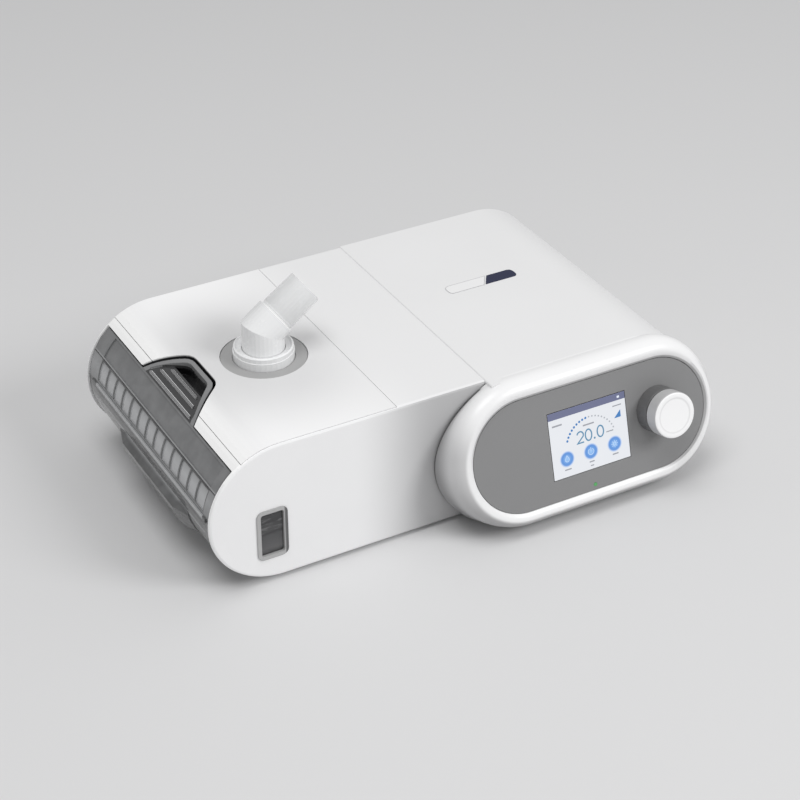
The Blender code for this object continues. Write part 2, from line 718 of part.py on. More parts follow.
def sector(name, inner, outer, start, end, front, back, cutter=True):
    """A curved slab between two radii and two angles of the left end, running along Y."""
    outline = end_arc(outer, start, end) + end_arc(inner, end, start)
    return prism(name, [outline], -back, -front, SIDE_VIEW, cutter)


def along_y(name, outlines, front, back, cutter=False):
    return prism(name, outlines, -back, -front, SIDE_VIEW, cutter)


def left_profile(radius, right):
    """The D-shaped section of the humidifier, or an inset of it."""
    return end_arc(radius, 0, math.pi) + [(right, AXIS_Z - radius), (right, AXIS_Z + radius)]


def bay_outline():
    """The section of the humidifier's inside, from the seam to the bay's mouth, whose floor has a blunt tip."""
    reach = END_RADIUS + OVERRUN
    low = AXIS_Z - END_RADIUS - FLOOR_TIP
    floor = AXIS_Z - INNER_RADIUS
    tip = LEFT_AXIS_X - math.sqrt(END_RADIUS ** 2 - (INNER_RADIUS + FLOOR_TIP) ** 2)
    outline = end_arc(INNER_RADIUS, 0, BAND_ANGLE)
    outline += end_arc(reach, BAND_ANGLE, math.pi - math.acos((END_RADIUS + FLOOR_TIP) / reach))
    outline += [(tip, low), (tip, floor)]
    right = SEAM_X + OVERRUN
    return outline + [(right, floor), (right, AXIS_Z + INNER_RADIUS)]


def cover_outline(gap, thickness, rise):
    """The section of the top cover: flat, then round the left end as far as the band."""
    right = COVER_RIGHT_X - gap
    turn = COVER_ANGLE - gap / END_RADIUS
    top = END_RADIUS + rise
    under = END_RADIUS - thickness
    outline = [(right, AXIS_Z + top)] + end_arc(top, 0, turn)
    return outline + end_arc(under, turn, 0) + [(right, AXIS_Z + under)]


def notch_outline(inset=0.0, open_end=OVERRUN):
    """The grip notch seen from above, with its mouth at the left."""
    tip = NOTCH_TIP_X - inset
    mouth = NOTCH_MOUTH_X
    tip_half = NOTCH_TIP_HALF - inset
    mouth_half = NOTCH_MOUTH_HALF - inset
    spread = (mouth_half - tip_half) * (1 + open_end / (tip - mouth))
    far_half = tip_half + spread
    corner = NOTCH_TIP_ROUND - inset
    return rounded([
        (tip, NOTCH_Y - tip_half, corner),
        (tip, NOTCH_Y + tip_half, corner),
        (mouth - open_end, NOTCH_Y + far_half, 0),
        (mouth - open_end, NOTCH_Y - far_half, 0),
    ])


def window_outline(inset):
    left = LEFT_AXIS_X - WINDOW_LEFT_REACH
    bottom = BASE_Z + WINDOW_BOTTOM_INSET
    centre = (left + WINDOW_WIDTH / 2, bottom + WINDOW_HEIGHT / 2)
    return rectangle(centre, WINDOW_WIDTH - 2 * inset, WINDOW_HEIGHT - 2 * inset, WINDOW_ROUND - inset)


def heater_outline(inset=0.0):
    centre = ((HEATER_LEFT_X + HEATER_RIGHT_X) / 2, FRONT_Y + BODY_DEPTH / 2)
    width = HEATER_RIGHT_X - HEATER_LEFT_X
    return rectangle(centre, width - 2 * inset, HEATER_LENGTH - 2 * inset, HEATER_ROUND)


def port_deck_outline(inset=0.0):
    return rectangle((PORT_X, PORT_Y), PORT_DECK_SIZE - 2 * inset, PORT_DECK_SIZE - 2 * inset)


def base_outline(left, right, inset):
    """A base cover's outline, seen from above."""
    centre = ((left + right) / 2, FRONT_Y + BODY_DEPTH / 2)
    return rectangle(centre, right - left - 2 * inset, BODY_DEPTH - 2 * BASE_RIM - 2 * inset, BASE_ROUND)


def humidifier_base_outline(inset=0.0):
    return base_outline(HUMIDIFIER_BASE_LEFT_X, HUMIDIFIER_BASE_RIGHT_X, inset)


def main_base_outline(inset=0.0):
    return base_outline(MAIN_BASE_LEFT_X, RIGHT_AXIS_X, inset)


def corner_places(left, right, margin):
    """Four places, one in each corner of a base cover."""
    front = FRONT_Y + BASE_RIM + margin
    back = BACK_Y - BASE_RIM - margin
    return [(x, y) for x in (left + margin, right - margin) for y in (front, back)]


def humidifier_corners(margin):
    return corner_places(HUMIDIFIER_BASE_LEFT_X, HUMIDIFIER_BASE_RIGHT_X, margin)


def main_corners(margin):
    return corner_places(MAIN_BASE_LEFT_X, RIGHT_AXIS_X, margin)


def screw_wells(name, places, radius, low, high):
    return merge(name, [rod(name + "_well", radius, low, high, at(x, y, 0), 10, True) for x, y in places], True)


def at(x, y, z):
    return Matrix.Translation((x, y, z))


def along_x(x, y, z):
    """A place whose Z runs along +X."""
    return at(x, y, z) @ Matrix.Rotation(math.pi / 2, 4, "Y")


def facing_back(x, y, z):
    """A place whose Z runs along +Y."""
    return at(x, y, z) @ Matrix.Rotation(-math.pi / 2, 4, "X")


def dock_hook_box(name, y, reach, grow, cutter):
    """One hook's bar across the seam."""
    low = (SEAM_X - reach, y - HOOK_WIDTH / 2 - grow, AXIS_Z - HOOK_DROP - grow)
    high = (SEAM_X + reach, y + HOOK_WIDTH / 2 + grow, AXIS_Z - HOOK_DROP + HOOK_HEIGHT + grow)
    return box(name, low, high, cutter)


def dock_hook_slots(name):
    """The slots of both hooks, one near the front and one near the back."""
    places = (FRONT_Y + HOOK_Y_INSET, BACK_Y - HOOK_Y_INSET)
    return merge(name, [dock_hook_box(name, y, HOOK_REACH + FIT_GAP, FIT_GAP, True) for y in places], True)


def dock_pocket(side, depth, grow):
    """The contact block's box on one side of the seam."""
    y = FRONT_Y + DOCK_PLUG_Y_INSET
    near = SEAM_X + side * SEAM_GAP
    far = SEAM_X + side * (depth + grow)
    low = (min(near, far), y - DOCK_PLUG_WIDTH / 2 - grow, AXIS_Z - DOCK_PLUG_HEIGHT / 2 - grow)
    high = (max(near, far), y + DOCK_PLUG_WIDTH / 2 + grow, AXIS_Z + DOCK_PLUG_HEIGHT / 2 + grow)
    return low, high


def build_humidifier_shell():
    """A sleeve with a front and a rear cheek. It is open at the left for the chamber, and at the seam."""
    outline = left_profile(END_RADIUS, SEAM_X - SEAM_GAP / 2)
    shell = along_y("humidifier_shell", [outline], FRONT_Y, BACK_Y)
    round_edges(shell, EDGE_ROUND, 2, only=on_outer_rim)
    room = along_y("shell_room", [bay_outline()], FRONT_Y + CHEEK_WALL, BACK_Y - CHEEK_WALL, True)
    seat = along_y("cover_seat", [cover_outline(0, COVER_THICKNESS + FIT_GAP, OVERRUN)],
                   FRONT_Y + COVER_EDGE_INSET, BACK_Y - COVER_EDGE_INSET, True)
    notch = prism("notch", [notch_outline()], TOP_Z - NOTCH_DEPTH, TOP_Z + OVERRUN, PLAN, True)
    hatch = prism("deck_hatch", [port_deck_outline()], TOP_Z - NOTCH_DEPTH, TOP_Z, PLAN, True)
    window = along_y("window_hole", [window_outline(WINDOW_FRAME / 2)],
                     FRONT_Y - OVERRUN, FRONT_Y + CHEEK_WALL + OVERRUN, True)
    heater = prism("heater_hole", [heater_outline(-FIT_GAP)], BASE_Z - OVERRUN, BASE_Z + OVERRUN, PLAN, True)
    base = prism("humidifier_base_seat", [humidifier_base_outline()], BASE_Z - OVERRUN, BASE_Z + BASE_RECESS,
                 PLAN, True)
    wells = screw_wells("humidifier_screw_wells", humidifier_corners(SCREW_MARGIN), SCREW_RADIUS / 2,
                        BASE_Z, BASE_Z + SHELL_WALL * 0.8)
    cut(shell, room, seat, notch, hatch, window, base, heater, wells)
    return finish(shell, WHITE, 0.35)


def on_outer_rim(start, end):
    """True for an edge round the body's front or rear face that doesn't lie along the seam."""
    at_face = any(abs(start.y - y) < FIT_GAP and abs(end.y - y) < FIT_GAP for y in (FRONT_Y, BACK_Y))
    return at_face and max(abs(start.x - SEAM_X), abs(end.x - SEAM_X)) > EDGE_ROUND


def moved_out(corners):
    """A pocket's box, made to run out through the seam."""
    low, high = corners
    if high[0] < SEAM_X:
        return low, (SEAM_X + SEAM_GAP, *high[1:])
    return (SEAM_X - SEAM_GAP, *low[1:]), high


def inner_wall(name, left, right):
    """A flat wall across the inside of the humidifier's sleeve."""
    low = (left, FRONT_Y + CHEEK_WALL + FIT_GAP, BASE_Z + SHELL_WALL + FIT_GAP)
    high = (right, BACK_Y - CHEEK_WALL - FIT_GAP, TOP_Z - SHELL_WALL - FIT_GAP)
    return box(name, low, high)


def build_bay_bulkhead():
    """The wall at the end of the bay, with the flat port that the chamber's inlet meets."""
    wall = inner_wall("bay_bulkhead", BAY_RIGHT_X, BAY_RIGHT_X + BULKHEAD_WALL)
    grow = 2 * DUCT_WALL + 2 * FIT_GAP
    port = prism("bay_port", [rectangle((DOCK_Y, BAY_PORT_Z), INLET_WIDTH + grow, INLET_HEIGHT + grow, DUCT_WALL)],
                 BAY_RIGHT_X - OVERRUN, BAY_RIGHT_X + BULKHEAD_WALL + OVERRUN, END_VIEW, True)
    return finish(cut(wall, port), WHITE, 0.4)


def build_dock_wall():
    """The wall at the seam, with the round port, the contacts' pocket and the two hooks."""
    wall = inner_wall("dock_wall", SEAM_X - DOCK_WALL, SEAM_X - SEAM_GAP / 2)
    port = rod("dock_port", DOCK_RADIUS + DUCT_WALL + FIT_GAP, -BASE_RIM, OVERRUN,
               along_x(SEAM_X, DOCK_Y, AXIS_Z), 24, True)
    pocket = box("socket_pocket", *moved_out(dock_pocket(-1, DOCK_PLUG_DEPTH, FIT_GAP)), True)
    cut(wall, port, pocket)
    for y in (FRONT_Y + HOOK_Y_INSET, BACK_Y - HOOK_Y_INSET):
        join(wall, round_edges(dock_hook_box("dock_hook", y, HOOK_REACH, 0, True), SMALL_ROUND))
    return finish(wall, WHITE, 0.5)


def build_port_deck():
    """The plate under the cover that carries the air port."""
    deck = prism("port_deck", [port_deck_outline(FIT_GAP)], TOP_Z - SHELL_WALL, TOP_Z - COVER_THICKNESS - FIT_GAP)
    hole = rod("port_hole", PORT_HOLE_RADIUS, TOP_Z - NOTCH_DEPTH, TOP_Z, at(PORT_X, PORT_Y, 0), 32, True)
    return finish(cut(deck, hole), WHITE, 0.4)


def build_humidifier_cover():
    cover = along_y("humidifier_cover", [cover_outline(FIT_GAP, COVER_THICKNESS, 0)],
                    FRONT_Y + COVER_EDGE_INSET + FIT_GAP, BACK_Y - COVER_EDGE_INSET - FIT_GAP)
    notch = prism("cover_notch", [notch_outline()], TOP_Z - NOTCH_DEPTH, TOP_Z + OVERRUN, PLAN, True)
    port = rod("cover_port", PORT_RADIUS, TOP_Z - OVERRUN, TOP_Z + OVERRUN, at(PORT_X, PORT_Y, 0), 48, True)
    cut(cover, notch, port)
    return finish(cover, WHITE, 0.35)


def build_port_bezel():
    top = -PORT_SINK
    under = -COVER_THICKNESS
    outer = PORT_RADIUS - FIT_GAP
    inner = COLLAR_RADIUS + FIT_GAP
    ring = turned("port_bezel", [(inner, top), (outer, top), (outer, under), (inner, under)],
                  at(PORT_X, PORT_Y, TOP_Z), 48, True)
    return finish(ring, PALE_GREY, 0.4)


def build_port_collar():
    """A two-step collar with a dished top. Its spigot goes down through the shell to just above the chamber."""
    end = LID_TOP - END_RADIUS + PORT_SEAL_LIP
    bore = ELBOW_RADIUS + ELBOW_GAP
    outer = COLLAR_RADIUS
    dish = COLLAR_HEIGHT - COLLAR_DISH
    foot = -COVER_THICKNESS
    spigot = PORT_HOLE_RADIUS - FIT_GAP
    profile = [
        (outer - COLLAR_STEP - COLLAR_RIM, COLLAR_HEIGHT),
        (outer - COLLAR_STEP, COLLAR_HEIGHT - COLLAR_STEP),
        (outer - COLLAR_STEP, COLLAR_STEP_HEIGHT),
        (outer, COLLAR_STEP_HEIGHT),
        (outer, foot),
        (spigot, foot),
        (spigot, end),
        (spigot - ELBOW_WALL, end),
        (spigot - ELBOW_WALL, foot + ELBOW_WALL),
        (bore, foot + ELBOW_WALL),
        (bore, dish),
        (outer - COLLAR_STEP - 2 * COLLAR_RIM, dish + COLLAR_DISH / 2),
    ]
    collar = turned("port_collar", profile, at(PORT_X, PORT_Y, TOP_Z), 36, True)
    return finish(collar, CLEAR, 0.2, alpha=0.8)


def build_port_seal():
    """The soft ring round the spigot's end, which the chamber's lid slides under."""
    inner = PORT_HOLE_RADIUS
    outer = inner + PORT_SEAL_WIDTH
    low = LID_TOP - END_RADIUS + FIT_GAP
    high = low + PORT_SEAL_HEIGHT
    profile = [(outer - SMALL_ROUND, high), (outer, low + SMALL_ROUND), (outer - SMALL_ROUND, low), (inner, low),
               (inner, high)]
    return finish(turned("port_seal", profile, at(PORT_X, PORT_Y, TOP_Z), 24, True), RUBBER, 0.7)


def elbow_ring(centre, direction, radius):
    """A ring of points square to a direction in XZ, given by its tilt above +X."""
    across = Vector((-math.sin(direction), 0, math.cos(direction)))
    turns = [math.tau * i / ELBOW_SIDES for i in range(ELBOW_SIDES)]
    return [centre + radius * (math.cos(t) * across + math.sin(t) * Vector((0, 1, 0))) for t in turns]


def miter_ring(radius):
    """The oval where the upright leg meets the tilted one."""
    half_turn = (math.pi / 2 + ELBOW_TILT) / 2
    ring = elbow_ring(Vector((0, 0, ELBOW_BEND_HEIGHT)), half_turn, radius)
    stretch = 1 / math.cos(math.pi / 2 - half_turn)
    middle = Vector((0, 0, ELBOW_BEND_HEIGHT))
    across = Vector((-math.sin(half_turn), 0, math.cos(half_turn)))
    return [point + across * ((point - middle).dot(across)) * (stretch - 1) for point in ring]


def build_elbow():
    """A mitred elbow: a fat leg, then a 22 mm cone for the hose."""
    foot = Vector((0, 0, -COVER_THICKNESS + ELBOW_WALL + FIT_GAP))
    middle = Vector((0, 0, ELBOW_BEND_HEIGHT))
    out = Vector((math.cos(ELBOW_TILT), 0, math.sin(ELBOW_TILT)))
    shoulder = middle + out * ELBOW_SHOULDER
    groove = shoulder + out * ELBOW_WALL / 2
    tip = middle + out * ELBOW_LENGTH
    bore = CONE_SMALL_RADIUS - ELBOW_WALL
    upright = math.pi / 2
    rings = [
        elbow_ring(foot, upright, ELBOW_RADIUS),
        miter_ring(ELBOW_RADIUS),
        elbow_ring(shoulder, ELBOW_TILT, ELBOW_RADIUS),
        elbow_ring(groove, ELBOW_TILT, CONE_LARGE_RADIUS - ELBOW_WALL / 3),
        elbow_ring(groove + out * ELBOW_WALL / 2, ELBOW_TILT, CONE_LARGE_RADIUS),
        elbow_ring(tip - out * ELBOW_WALL / 4, ELBOW_TILT, CONE_SMALL_RADIUS),
        elbow_ring(tip, ELBOW_TILT, CONE_SMALL_RADIUS - ELBOW_WALL / 4),
        elbow_ring(tip, ELBOW_TILT, bore),
        elbow_ring(shoulder, ELBOW_TILT, bore),
        miter_ring(bore),
        elbow_ring(foot, upright, bore),
    ]
    item = loft("elbow", rings, hollow=True)
    item.location = (PORT_X, PORT_Y, TOP_Z)
    return finish(item, CLEAR, 0.15, alpha=0.8)


def build_window():
    frame = along_y("window_frame", [window_outline(WINDOW_FRAME / 2 + FIT_GAP / 2), window_outline(WINDOW_FRAME)],
                    FRONT_Y - WINDOW_PROUD, FRONT_Y + CHEEK_WALL - FIT_GAP)
    lip = along_y("window_lip", [window_outline(0), window_outline(WINDOW_FRAME)],
                  FRONT_Y - WINDOW_PROUD - FIT_GAP, FRONT_Y - FIT_GAP / 2, True)
    join(frame, lip)
    lens = along_y("window_lens", [window_outline(WINDOW_FRAME + FIT_GAP)],
                   FRONT_Y + WINDOW_LENS_SINK, FRONT_Y + CHEEK_WALL - FIT_GAP)
    finish(frame, PALE_GREY, 0.35)
    return finish(lens, BLACK, 0.1)


def chamber_outline(part, inset, reach=0.0):
    """The section of the chamber's lid or tub. A reach carries its open side past the parting plane."""
    face = CHAMBER_RADIUS - inset
    right = CHAMBER_RIGHT_X - inset
    side = 1 if part == "lid" else -1
    parting = PARTING_Z + side * FIT_GAP / 2
    meeting = math.acos((parting - AXIS_Z) / face)
    past = parting - side * reach
    if part == "lid":
        top = LID_TOP - inset
        turn = BAND_ANGLE + SLACK_ANGLE + inset / END_RADIUS
        outline = [(LEFT_AXIS_X - top * math.tan(turn), AXIS_Z + top)] + end_arc(face, turn, meeting)
        outline += [(outline[-1][0], past)] if reach else []
        return outline + [(right, past), (right, AXIS_Z + top)]
    floor = TUB_FLOOR - inset
    outline = end_arc(face, meeting, math.pi - math.acos(floor / face))
    outline += [(right, AXIS_Z - floor), (right, past)]
    return outline + ([(outline[0][0], past)] if reach else [])


def scoop_cutter():
    """The pocket behind the thumb pad: a bowl that keeps a sloping pad at its outer side."""
    rim = SCOOP_GAP + SCOOP_RIM
    bowl = prism("scoop_bowl", [notch_outline(rim, -SCOOP_RIM)], TOP_Z - SCOOP_DEPTH, TOP_Z + OVERRUN, PLAN, True)
    edge = NOTCH_MOUTH_X
    inner = edge + SCOOP_PAD_WIDTH
    steps = [edge + (inner - edge) * i / 4 for i in range(5)]
    top = [(x, surface_z(x) - SCOOP_PAD_SINK * (x - edge) / (inner - edge)) for x in steps]
    low = TOP_Z - NOTCH_DEPTH
    pad = along_y("scoop_pad", [[(edge - OVERRUN, low), (inner, low)] + top[::-1] + [(edge - OVERRUN, top[0][1])]],
                  NOTCH_Y - NOTCH_MOUTH_HALF, NOTCH_Y + NOTCH_MOUTH_HALF, True)
    return cut(bowl, pad)


def surface_z(x):
    """The height of the chamber's face at a place across."""
    offset = LEFT_AXIS_X - x
    return AXIS_Z + math.sqrt(max(CHAMBER_RADIUS ** 2 - offset ** 2, 0))


def scoop_ribs():
    """Ribs along Y on the pad, shorter towards the pocket."""
    made = []
    edge = NOTCH_MOUTH_X
    for i in range(SCOOP_RIBS):
        x = edge + SCOOP_PAD_WIDTH * (i + 0.4) / SCOOP_RIBS
        z = surface_z(x) - SCOOP_PAD_SINK * (x - edge) / SCOOP_PAD_WIDTH
        fade = 1 - (1 - SCOOP_PAD_NARROWING) * i / (SCOOP_RIBS - 1)
        half = (NOTCH_MOUTH_HALF - SCOOP_PAD_MARGIN) * fade
        low = (x - SCOOP_RIB_WIDTH / 2, NOTCH_Y - half, z - SCOOP_RIB_HEIGHT * 2)
        high = (x + SCOOP_RIB_WIDTH / 2, NOTCH_Y + half, z + SCOOP_RIB_HEIGHT)
        made.append(box("scoop_rib", low, high, True))
    return merge("scoop_ribs", made, True)


def build_chamber_lid():
    """The chamber's upper half: a shell with a smooth face, and a ribbed thumb scoop that fills the notch."""
    lid = along_y("chamber_lid", [chamber_outline("lid", 0)], CHAMBER_FRONT_Y, CHAMBER_BACK_Y)
    hollow = along_y("lid_room", [chamber_outline("lid", CHAMBER_WALL, OVERRUN)],
                     CHAMBER_FRONT_Y + CHAMBER_WALL, CHAMBER_BACK_Y - CHAMBER_WALL, True)
    face = along_y("scoop_limit", [left_profile(CHAMBER_RADIUS, CHAMBER_RIGHT_X)], CHAMBER_FRONT_Y,
                   CHAMBER_BACK_Y, True)
    block = prism("scoop_block", [notch_outline(SCOOP_GAP, SCOOP_GAP)], AXIS_Z + LID_TOP - CHAMBER_WALL / 2,
                  TOP_Z + OVERRUN, PLAN, True)
    boolean(block, face, "INTERSECT")
    join(lid, block)
    sink = sector("face_sink", CHAMBER_RADIUS - FACE_SINK, END_RADIUS + OVERRUN,
                  BAND_ANGLE + 2 * FACE_MARGIN_ANGLE, PARTING_ANGLE - FACE_MARGIN_ANGLE,
                  CHAMBER_FRONT_Y + FACE_FRONT_RIM, CHAMBER_BACK_Y - FACE_REAR_RIM)
    outlet = rod("chamber_outlet", OUTLET_HOLE_RADIUS, PARTING_Z, TOP_Z, at(PORT_X, PORT_Y, 0), 24, True)
    cut(lid, hollow, sink, outlet, scoop_cutter())
    join(lid, scoop_ribs())
    return finish(lid, SMOKE, 0.12, alpha=0.6, origin=CHAMBER_ORIGIN)


def grid_cells():
    """The sunk cells between the ribs of the tub's face."""
    start = CHAMBER_FRONT_Y + FACE_FRONT_RIM
    pitch = (CHAMBER_BACK_Y - FACE_REAR_RIM - start) / GRID_CELLS
    made = []
    for i in range(GRID_CELLS):
        front = start + pitch * i + GRID_RIB / 2
        back = start + pitch * (i + 1) - GRID_RIB / 2
        made.append(sector("cell", CHAMBER_RADIUS - GRID_SINK, END_RADIUS + OVERRUN,
                           GRID_TOP_ANGLE, GRID_BOTTOM_ANGLE, front, back))
    return merge("grid_cells", made, True)


def grip_ring(y, out):
    """One section of the lower finger grip, standing out from the face."""
    outer = CHAMBER_RADIUS + out
    inner = CHAMBER_RADIUS - CHAMBER_WALL / 2
    outline = end_arc(outer, GRIP_TOP_ANGLE + GRIP_TIP_ANGLE, GRIP_BOTTOM_ANGLE)
    outline += end_arc(inner, GRIP_BOTTOM_ANGLE, GRIP_TOP_ANGLE)
    return [Vector((u, y, v)) for u, v in outline]


def build_grip():
    front = FRONT_Y + GRIP_FRONT_INSET
    back = BACK_Y - GRIP_BACK_INSET
    root = CHAMBER_WALL / 4
    rings = [grip_ring(front, root), grip_ring(front + GRIP_RAMP, GRIP_OUT)]
    rings += [grip_ring(back - GRIP_RAMP, GRIP_OUT), grip_ring(back, root)]
    grip = loft("finger_grip", rings, True)
    hollow = sector("grip_hollow", CHAMBER_RADIUS + GRIP_SKIN, CHAMBER_RADIUS + GRIP_OUT - GRIP_WALL,
                    GRIP_TOP_ANGLE + 2 * GRIP_TIP_ANGLE, GRIP_BOTTOM_ANGLE + GRIP_TIP_ANGLE,
                    front + GRIP_RAMP, back - GRIP_RAMP)
    return cut(grip, hollow)


def build_chamber_tub():
    """The chamber's lower half: a tub whose round face has the grid, a lip and the finger grip."""
    tub = along_y("chamber_tub", [chamber_outline("tub", 0)], CHAMBER_FRONT_Y, CHAMBER_BACK_Y)
    hollow = along_y("tub_room", [chamber_outline("tub", CHAMBER_WALL, OVERRUN)],
                     CHAMBER_FRONT_Y + CHAMBER_WALL, CHAMBER_BACK_Y - CHAMBER_WALL, True)
    lip = sector("tub_lip", CHAMBER_RADIUS - CHAMBER_WALL / 2, CHAMBER_RADIUS + LIP_HEIGHT, LIP_ANGLE,
                 LIP_END_ANGLE, CHAMBER_FRONT_Y + FACE_FRONT_RIM / 2, CHAMBER_BACK_Y - FACE_REAR_RIM / 2)
    floor = prism("tub_floor", [heater_outline(HEATER_LEDGE)], BASE_Z, BASE_Z + SHELL_WALL + CHAMBER_WALL * 2,
                  PLAN, True)
    seat = prism("plate_seat", [heater_outline()], BASE_Z + SHELL_WALL + CHAMBER_WALL / 2,
                 BASE_Z + SHELL_WALL + CHAMBER_WALL * 2, PLAN, True)
    inlet = prism("chamber_inlet", [rectangle((DOCK_Y, BAY_PORT_Z), INLET_WIDTH, INLET_HEIGHT, DUCT_WALL)],
                  CHAMBER_RIGHT_X - OVERRUN, CHAMBER_RIGHT_X + OVERRUN, END_VIEW, True)
    cut(tub, hollow, grid_cells(), inlet)
    join(tub, lip, build_grip())
    cut(tub, floor, seat)
    return finish(tub, SMOKE, 0.12, alpha=0.6, origin=CHAMBER_ORIGIN)


def build_chamber_seal():
    """A lip gasket inside the parting line."""
    height = CHAMBER_SEAL_HEIGHT
    drop = PARTING_Z - AXIS_Z - height / 2
    left = LEFT_AXIS_X - math.sqrt((CHAMBER_RADIUS - CHAMBER_WALL) ** 2 - (drop + height) ** 2) + FIT_GAP
    right = CHAMBER_RIGHT_X - CHAMBER_WALL - FIT_GAP
    front = CHAMBER_FRONT_Y + CHAMBER_WALL + FIT_GAP
    back = CHAMBER_BACK_Y - CHAMBER_WALL - FIT_GAP
    centre = ((left + right) / 2, (front + back) / 2)
    outer = rectangle(centre, right - left, back - front, CHAMBER_SEAL_WIDTH)
    inner = rectangle(centre, right - left - 2 * CHAMBER_SEAL_WIDTH, back - front - 2 * CHAMBER_SEAL_WIDTH)
    seal = prism("chamber_seal", [outer, inner], PARTING_Z - height / 2, PARTING_Z + height / 2)
    return finish(seal, RUBBER, 0.7, origin=CHAMBER_ORIGIN)


def build_chamber_plate():
    """The metal floor of the tub: a pan that drops through the tub's opening."""
    bottom = BASE_Z + SHELL_WALL + CHAMBER_CLEARANCE
    ledge = BASE_Z + SHELL_WALL + CHAMBER_WALL / 2 + FIT_GAP
    plate = prism("chamber_plate", [heater_outline(FIT_GAP)], ledge, ledge + CHAMBER_PLATE_THICKNESS)
    pan = prism("chamber_pan", [heater_outline(HEATER_LEDGE + FIT_GAP)], bottom,
                ledge + CHAMBER_PLATE_THICKNESS / 2, PLAN, True)
    join(plate, pan)
    return finish(plate, METAL, 0.3, 1.0, origin=CHAMBER_ORIGIN)


def build_heater():
    top = BASE_Z + SHELL_WALL
    plate = prism("heater_plate", [heater_outline()], top - HEATER_THICKNESS, top)
    bottom = BASE_Z + BASE_RECESS + FIT_GAP
    pad = prism("heater_insulator", [heater_outline()], bottom, top - HEATER_THICKNESS - FIT_GAP)
    finish(pad, RUBBER, 0.8)
    return finish(plate, METAL, 0.35, 1.0)


def build_transfer_duct():
    """A hollow loft from the round dock port to the flat port of the bay."""
    flat_end = BAY_RIGHT_X + FIT_GAP / 2
    flat_run = BAY_RIGHT_X + BULKHEAD_WALL + FIT_GAP
    round_run = SEAM_X - DUCT_SPIGOT
    round_end = SEAM_X - SEAM_GAP
    rings = []
    for wall, ends in ((DUCT_WALL, (flat_end, flat_run, round_run, round_end)),
                       (0.0, (round_end, round_run, flat_run, flat_end))):
        for x in ends:
            if x < (flat_run + round_run) / 2:
                rings.append(superellipse(x, BAY_PORT_Z, INLET_WIDTH / 2 + wall, INLET_HEIGHT / 2 + wall, 4))
            else:
                rings.append(superellipse(x, AXIS_Z, DOCK_RADIUS + wall, DOCK_RADIUS + wall, 2))
    duct = loft("transfer_duct", rings, hollow=True)
    return finish(duct, PALE_GREY, 0.6)


def superellipse(x, z, half_y, half_z, power):
    """A ring across the air path: power 2 is an ellipse, and a higher one is squarer."""
    ring = []
    for i in range(DUCT_SIDES):
        turn = math.tau * i / DUCT_SIDES
        c, s = math.cos(turn), math.sin(turn)
        across = math.copysign(abs(c) ** (2 / power), c)
        up = math.copysign(abs(s) ** (2 / power), s)
        ring.append(Vector((x, DOCK_Y + half_y * across, z + half_z * up)))
    return ring


def build_humidifier_base():
    plate = prism("humidifier_base", [humidifier_base_outline(FIT_GAP)], BASE_Z, BASE_Z + BASE_RECESS - FIT_GAP)
    cut(plate, screw_wells("humidifier_base_holes", humidifier_corners(SCREW_MARGIN), SCREW_RADIUS + FIT_GAP,
                           BASE_Z - OVERRUN, BASE_Z + OVERRUN))
    cut(plate, foot_wells("humidifier_base_foot_holes", humidifier_corners(FOOT_MARGIN)))
    return finish(plate, WHITE, 0.5)


def foot_wells(name, places):
    top = BASE_Z + FOOT_SINK + FIT_GAP
    wells = [rod("foot_well", FOOT_RADIUS + FIT_GAP, BASE_Z - OVERRUN, top, at(x, y, 0), 16, True) for x, y in places]
    return merge(name, wells, True)


def build_rubber_feet():
    """Eight round pads, sunk in the base covers and chamfered at the floor."""
    top = BASE_Z + FOOT_SINK
    profile = [(0, top), (FOOT_RADIUS, top), (FOOT_RADIUS, FOOT_SINK), (FOOT_RADIUS - FOOT_SINK, 0), (0, 0)]
    for i, (x, y) in enumerate(humidifier_corners(FOOT_MARGIN) + main_corners(FOOT_MARGIN)):
        finish(turned(f"rubber_foot_{i + 1}", profile, at(x, y, 0), 16), RUBBER, 0.8)


def build_dock_seal():
    """The soft ring at the seam, round the air port."""
    half = DOCK_SEAL_THICKNESS / 2
    profile = [(DOCK_SEAL_RADIUS, half), (DOCK_SEAL_RADIUS, -half), (DOCK_RADIUS, -half), (DOCK_RADIUS, half)]
    place = along_x(SEAM_X + SEAM_GAP + half + FIT_GAP, DOCK_Y, AXIS_Z)
    return finish(turned("dock_seal", profile, place, 24, True), RUBBER, 0.7)


def build_dock_contacts():
    plug = box("dock_plug", *dock_pocket(1, DOCK_PLUG_DEPTH, 0))
    socket = box("dock_socket", *dock_pocket(-1, DOCK_PLUG_DEPTH, 0))
    finish(plug, BLACK, 0.5)
    return finish(socket, BLACK, 0.5)


def main_profile(inset):
    """The main unit's section: square at the seam, round at the right."""
    radius = END_RADIUS - inset
    left = SEAM_X + SEAM_GAP / 2 + inset
    right = TOTAL_WIDTH / 2 - inset
    low = AXIS_Z - radius
    high = AXIS_Z + radius
    return rounded([(left, low, CASE_CORNER), (right, low, radius), (right, high, radius), (left, high, CASE_CORNER)])


def post_places():
    half_x = MAIN_BOARD_WIDTH / 2 - POST_MARGIN
    half_y = MAIN_BOARD_LENGTH / 2 - POST_MARGIN
    return [(MAIN_BOARD_X + a * half_x, MAIN_BOARD_Y + b * half_y) for a in (-1, 1) for b in (-1, 1)]


def dock_plate_box(name, grow, reach, cutter):
    """The plate in the case's left wall, or its window when it grows and reaches through."""
    left = SEAM_X + SEAM_GAP / 2
    low = (left - reach, FRONT_Y + DOCK_PLATE_MARGIN - grow, AXIS_Z - DOCK_PLATE_HEIGHT / 2 - grow)
    high = (left + CASE_WALL + reach, BACK_Y - DOCK_PLATE_MARGIN + grow, AXIS_Z + DOCK_PLATE_HEIGHT / 2 + grow)
    return box(name, low, high, cutter)


